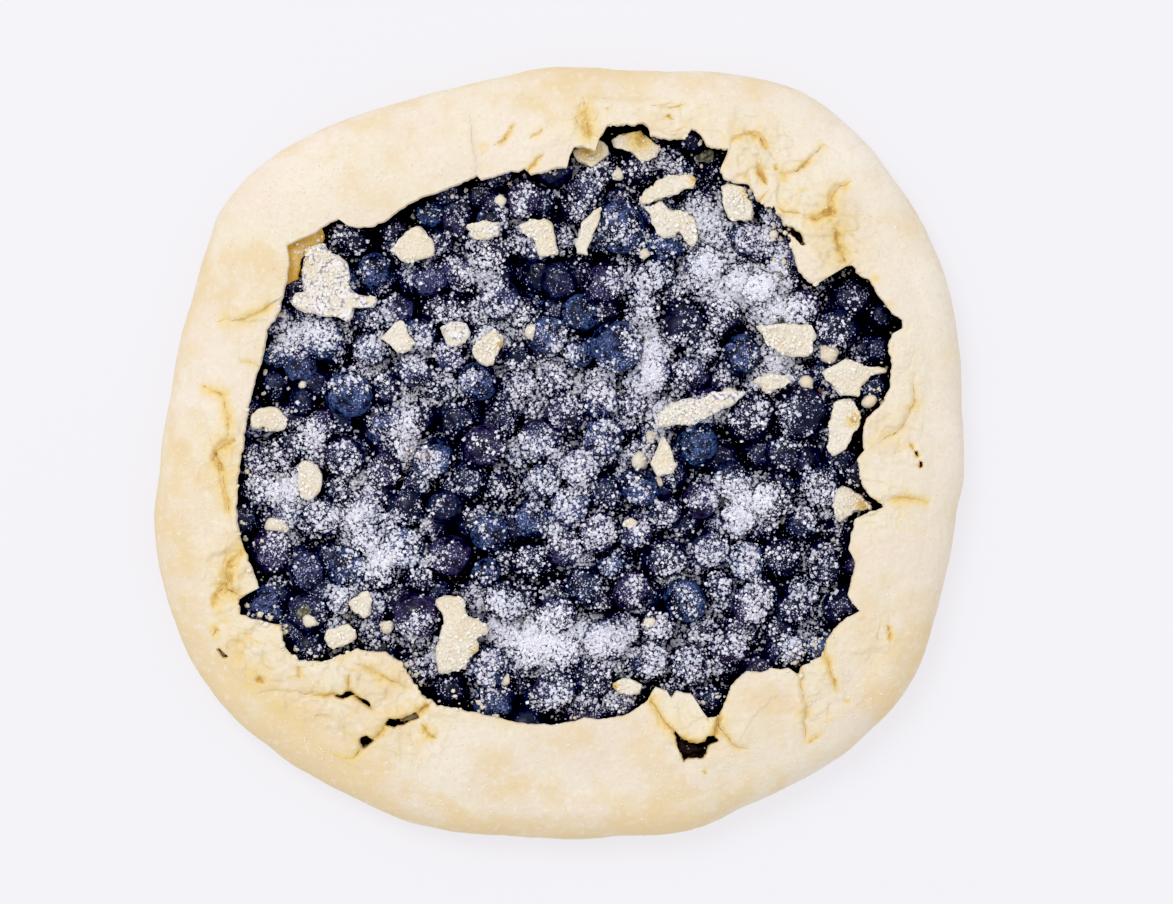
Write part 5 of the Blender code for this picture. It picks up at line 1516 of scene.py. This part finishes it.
# Shapes of the grains: points and faces.
BOX = (list(itertools.product((-0.5, 0.5), repeat=3)),
       [(0, 1, 3, 2), (4, 6, 7, 5), (0, 4, 5, 1), (2, 3, 7, 6), (0, 2, 6, 4), (1, 5, 7, 3)])
EIGHT_SIDED = ([(0.6, 0, 0), (-0.6, 0, 0), (0, 0.6, 0), (0, -0.6, 0), (0, 0, 0.6), (0, 0, -0.6)],
               [(0, 2, 4), (2, 1, 4), (1, 3, 4), (3, 0, 4),
                (2, 0, 5), (1, 2, 5), (3, 1, 5), (0, 3, 5)])
FOUR_SIDED = ([(0.5, 0.5, 0.5), (0.5, -0.5, -0.5), (-0.5, 0.5, -0.5), (-0.5, -0.5, 0.5)],
              [(0, 1, 2), (0, 3, 1), (0, 2, 3), (1, 3, 2)])


def build_grains(name, shape, faces, places, sizes, rng):
    """One mesh of many grains, each turned at random and a little uneven."""
    turns = rng.normal(size=(len(places), 4))
    turns /= np.linalg.norm(turns, axis=1)[:, None]
    w, i, j, k = turns.T
    spin = np.stack((
        1 - 2 * (j * j + k * k), 2 * (i * j - k * w), 2 * (i * k + j * w),
        2 * (i * j + k * w), 1 - 2 * (i * i + k * k), 2 * (j * k - i * w),
        2 * (i * k - j * w), 2 * (j * k + i * w), 1 - 2 * (i * i + j * j)), axis=1).reshape(-1, 3, 3)
    squash = rng.uniform(0.7, 1.15, (len(places), 1, 3))
    uneven = rng.uniform(-0.09, 0.09, (len(places), len(shape), 3))
    grains = (np.array(shape)[None] * squash + uneven) @ spin.transpose(0, 2, 1)
    points = grains * sizes[:, None, None] + places[:, None, :]
    corners = np.array(faces)
    all_faces = corners[None] + (np.arange(len(places)) * len(shape))[:, None, None]
    return make_mesh(name, points.reshape(-1, 3), all_faces.reshape(-1, corners.shape[1]).tolist())


def sprinkle(count, tree, dough_start, chance, reach, least_up):
    """Where grains come to rest, and which lie on dough: the tree's faces from a number on."""
    kept = []
    while len(kept) < count:
        xy = grain_rng.uniform(-reach, reach, (4000, 2))
        accepted = xy[grain_rng.uniform(0, 1, 4000) < chance(xy[:, 0], xy[:, 1])]
        for x, y in accepted:
            place, normal, face, _ = tree.ray_cast(Vector((x, y, 0.1)), Vector((0, 0, -1)))
            if place is None or normal.z < grain_rng.uniform(*least_up):
                continue
            on_dough = face >= dough_start
            if not on_dough or grain_rng.uniform() < KEPT_ON_DOUGH:
                kept.append((x, y, place.z, float(on_dough)))
    kept = np.array(kept[:count])
    return kept[:, :3], kept[:, 3]


def own_sugar(x, y):
    """How thickly the topmost berry at each point is sugared."""
    bx, by, level, width = berry_table.T
    away = np.hypot(x[:, None] - bx, y[:, None] - by) / (width / 2)
    rise = 0.5 * BERRY_FLATNESS * width * np.sqrt(np.clip(1 - away**2, 0, 1))
    top = np.where(away < 1, level + rise, 0.0)
    return np.where(top.max(axis=1) > 0, sugar_shares[np.argmax(top, axis=1)], BETWEEN_BERRIES)


def chance_on_fruit(x, y):
    """How likely a grain is to lie at each point of the fruit."""
    clumps = layered(on_ground(x, y), CLUMPS)
    column, row = (np.clip(((line + FRUIT_REACH) / DRIFT_CELL).astype(int), 0, len(grid_x) - 1)
                   for line in (x, y))
    valley = np.clip((soft_level - heap_level)[column, row] / 0.0025, -1, 1)
    chance = own_sugar(x, y) * np.clip(0.32 + 0.95 * clumps + 0.05 * valley, 0.02, 0.95)
    chance = chance * (1 - spots(x, y, BARE_PLACES)) + 0.85 * spoonful_depth(x, y)
    # Fewer grains lie just inside the lip, so the band it shades stays dark.
    from_lip = lip_radius(np.arctan2(y, x)) - np.hypot(x, y)
    thinned_by_lip_shade = 0.25 + 0.75 * np.clip((from_lip - 0.001) / LIP_SHADE_REACH, 0, 1)
    return np.clip(chance, 0, 1) * thinned_by_lip_shade * (from_lip > 0.0006)


def chance_on_dough(x, y):
    """How likely a grain is to lie at each point of the dough."""
    bearing = np.arctan2(y, x)
    radius = np.hypot(x, y)
    outer = fold_radius(bearing) - CLEAR_OF_EDGE
    lip = lip_radius(bearing)
    chance = 0.1 + 0.3 * np.exp(-(radius - lip) / 0.01) + 0.6 * spots(x, y, DUSTED_DOUGH)
    return np.clip(chance, 0, 1) * (radius > lip) * (radius < outer)


def loose_sugar():
    """Clear white crystals, which take some colour from what they lie on."""
    material, tree, surface, place = new_material("loose sugar")
    tone = painted(tree, "tone")
    juicy = stretch(tree, mottle(tree, place, 0.009), 0.45, 0.6)
    on_fruit = blend(tree, tone, blend(tree, juicy, *DIM_ON_FRUIT), BRIGHT_ON_FRUIT)
    on_dough = blend(tree, tone, *TONES_ON_DOUGH)
    colour = blend(tree, painted(tree, "on_dough"), on_fruit, on_dough)
    feed(tree, surface, {"Base Color": colour, "Roughness": 0.3})
    return material


grain_rng = np.random.default_rng(BERRY_SEED)
berry_table = np.array([berry[:4] for berry in upper_berries])
sugar_material = loose_sugar()
no_dough = (berries_mesh, lower_mesh, bed_mesh, drifts_mesh, *bits_meshes)
rest_on = solid_tree(*no_dough, crumbs_mesh, ledge_mesh, *scrap_meshes)
first_dough_face = sum(len(mesh.polygons) for mesh in no_dough)
OVER_FRUIT = (rest_on, first_dough_face, chance_on_fruit, FRUIT_REACH, (0.15, 0.85))
OVER_DOUGH = (crust_tree, 0, chance_on_dough, DOUGH_REACH, (0.3, 0.9))


def add_grains(name, kind, count, where, sizes, dimmest):
    """A piece of grains of one kind, sized between two limits, with tones from dimmest to 1.

    Where they lie deep there is less dark fruit to shine through, so they are whiter.
    """
    shape, faces = kind
    places, on_dough = sprinkle(count, *where)
    own_sizes = grain_rng.uniform(*sizes, count)
    places[:, 2] += 0.3 * own_sizes
    mesh = build_grains(name, shape, faces, places, own_sizes, grain_rng)
    tones = grain_rng.uniform(dimmest, 1.0, count)
    tones += 0.75 * spoonful_depth(places[:, 0], places[:, 1]) * (1 - tones)
    paint(mesh, "tone", np.repeat(tones, len(shape)))
    paint(mesh, "on_dough", np.repeat(on_dough, len(shape)))
    add_piece(name, mesh, sugar_material, smooth=False)


add_grains("coarse_sugar", BOX, COARSE_GRAINS, OVER_FRUIT, (0.00052, 0.001), 0.6)
add_grains("fine_sugar", EIGHT_SIDED, FINE_GRAINS, OVER_FRUIT, (0.00036, 0.00072), 0.3)
add_grains("sugar_specks", FOUR_SIDED, SPECKS, OVER_FRUIT, (0.00022, 0.00042), 0.0)
add_grains("sugar_on_dough", BOX, CRUST_GRAINS, OVER_DOUGH, (0.00022, 0.0005), 0.2)
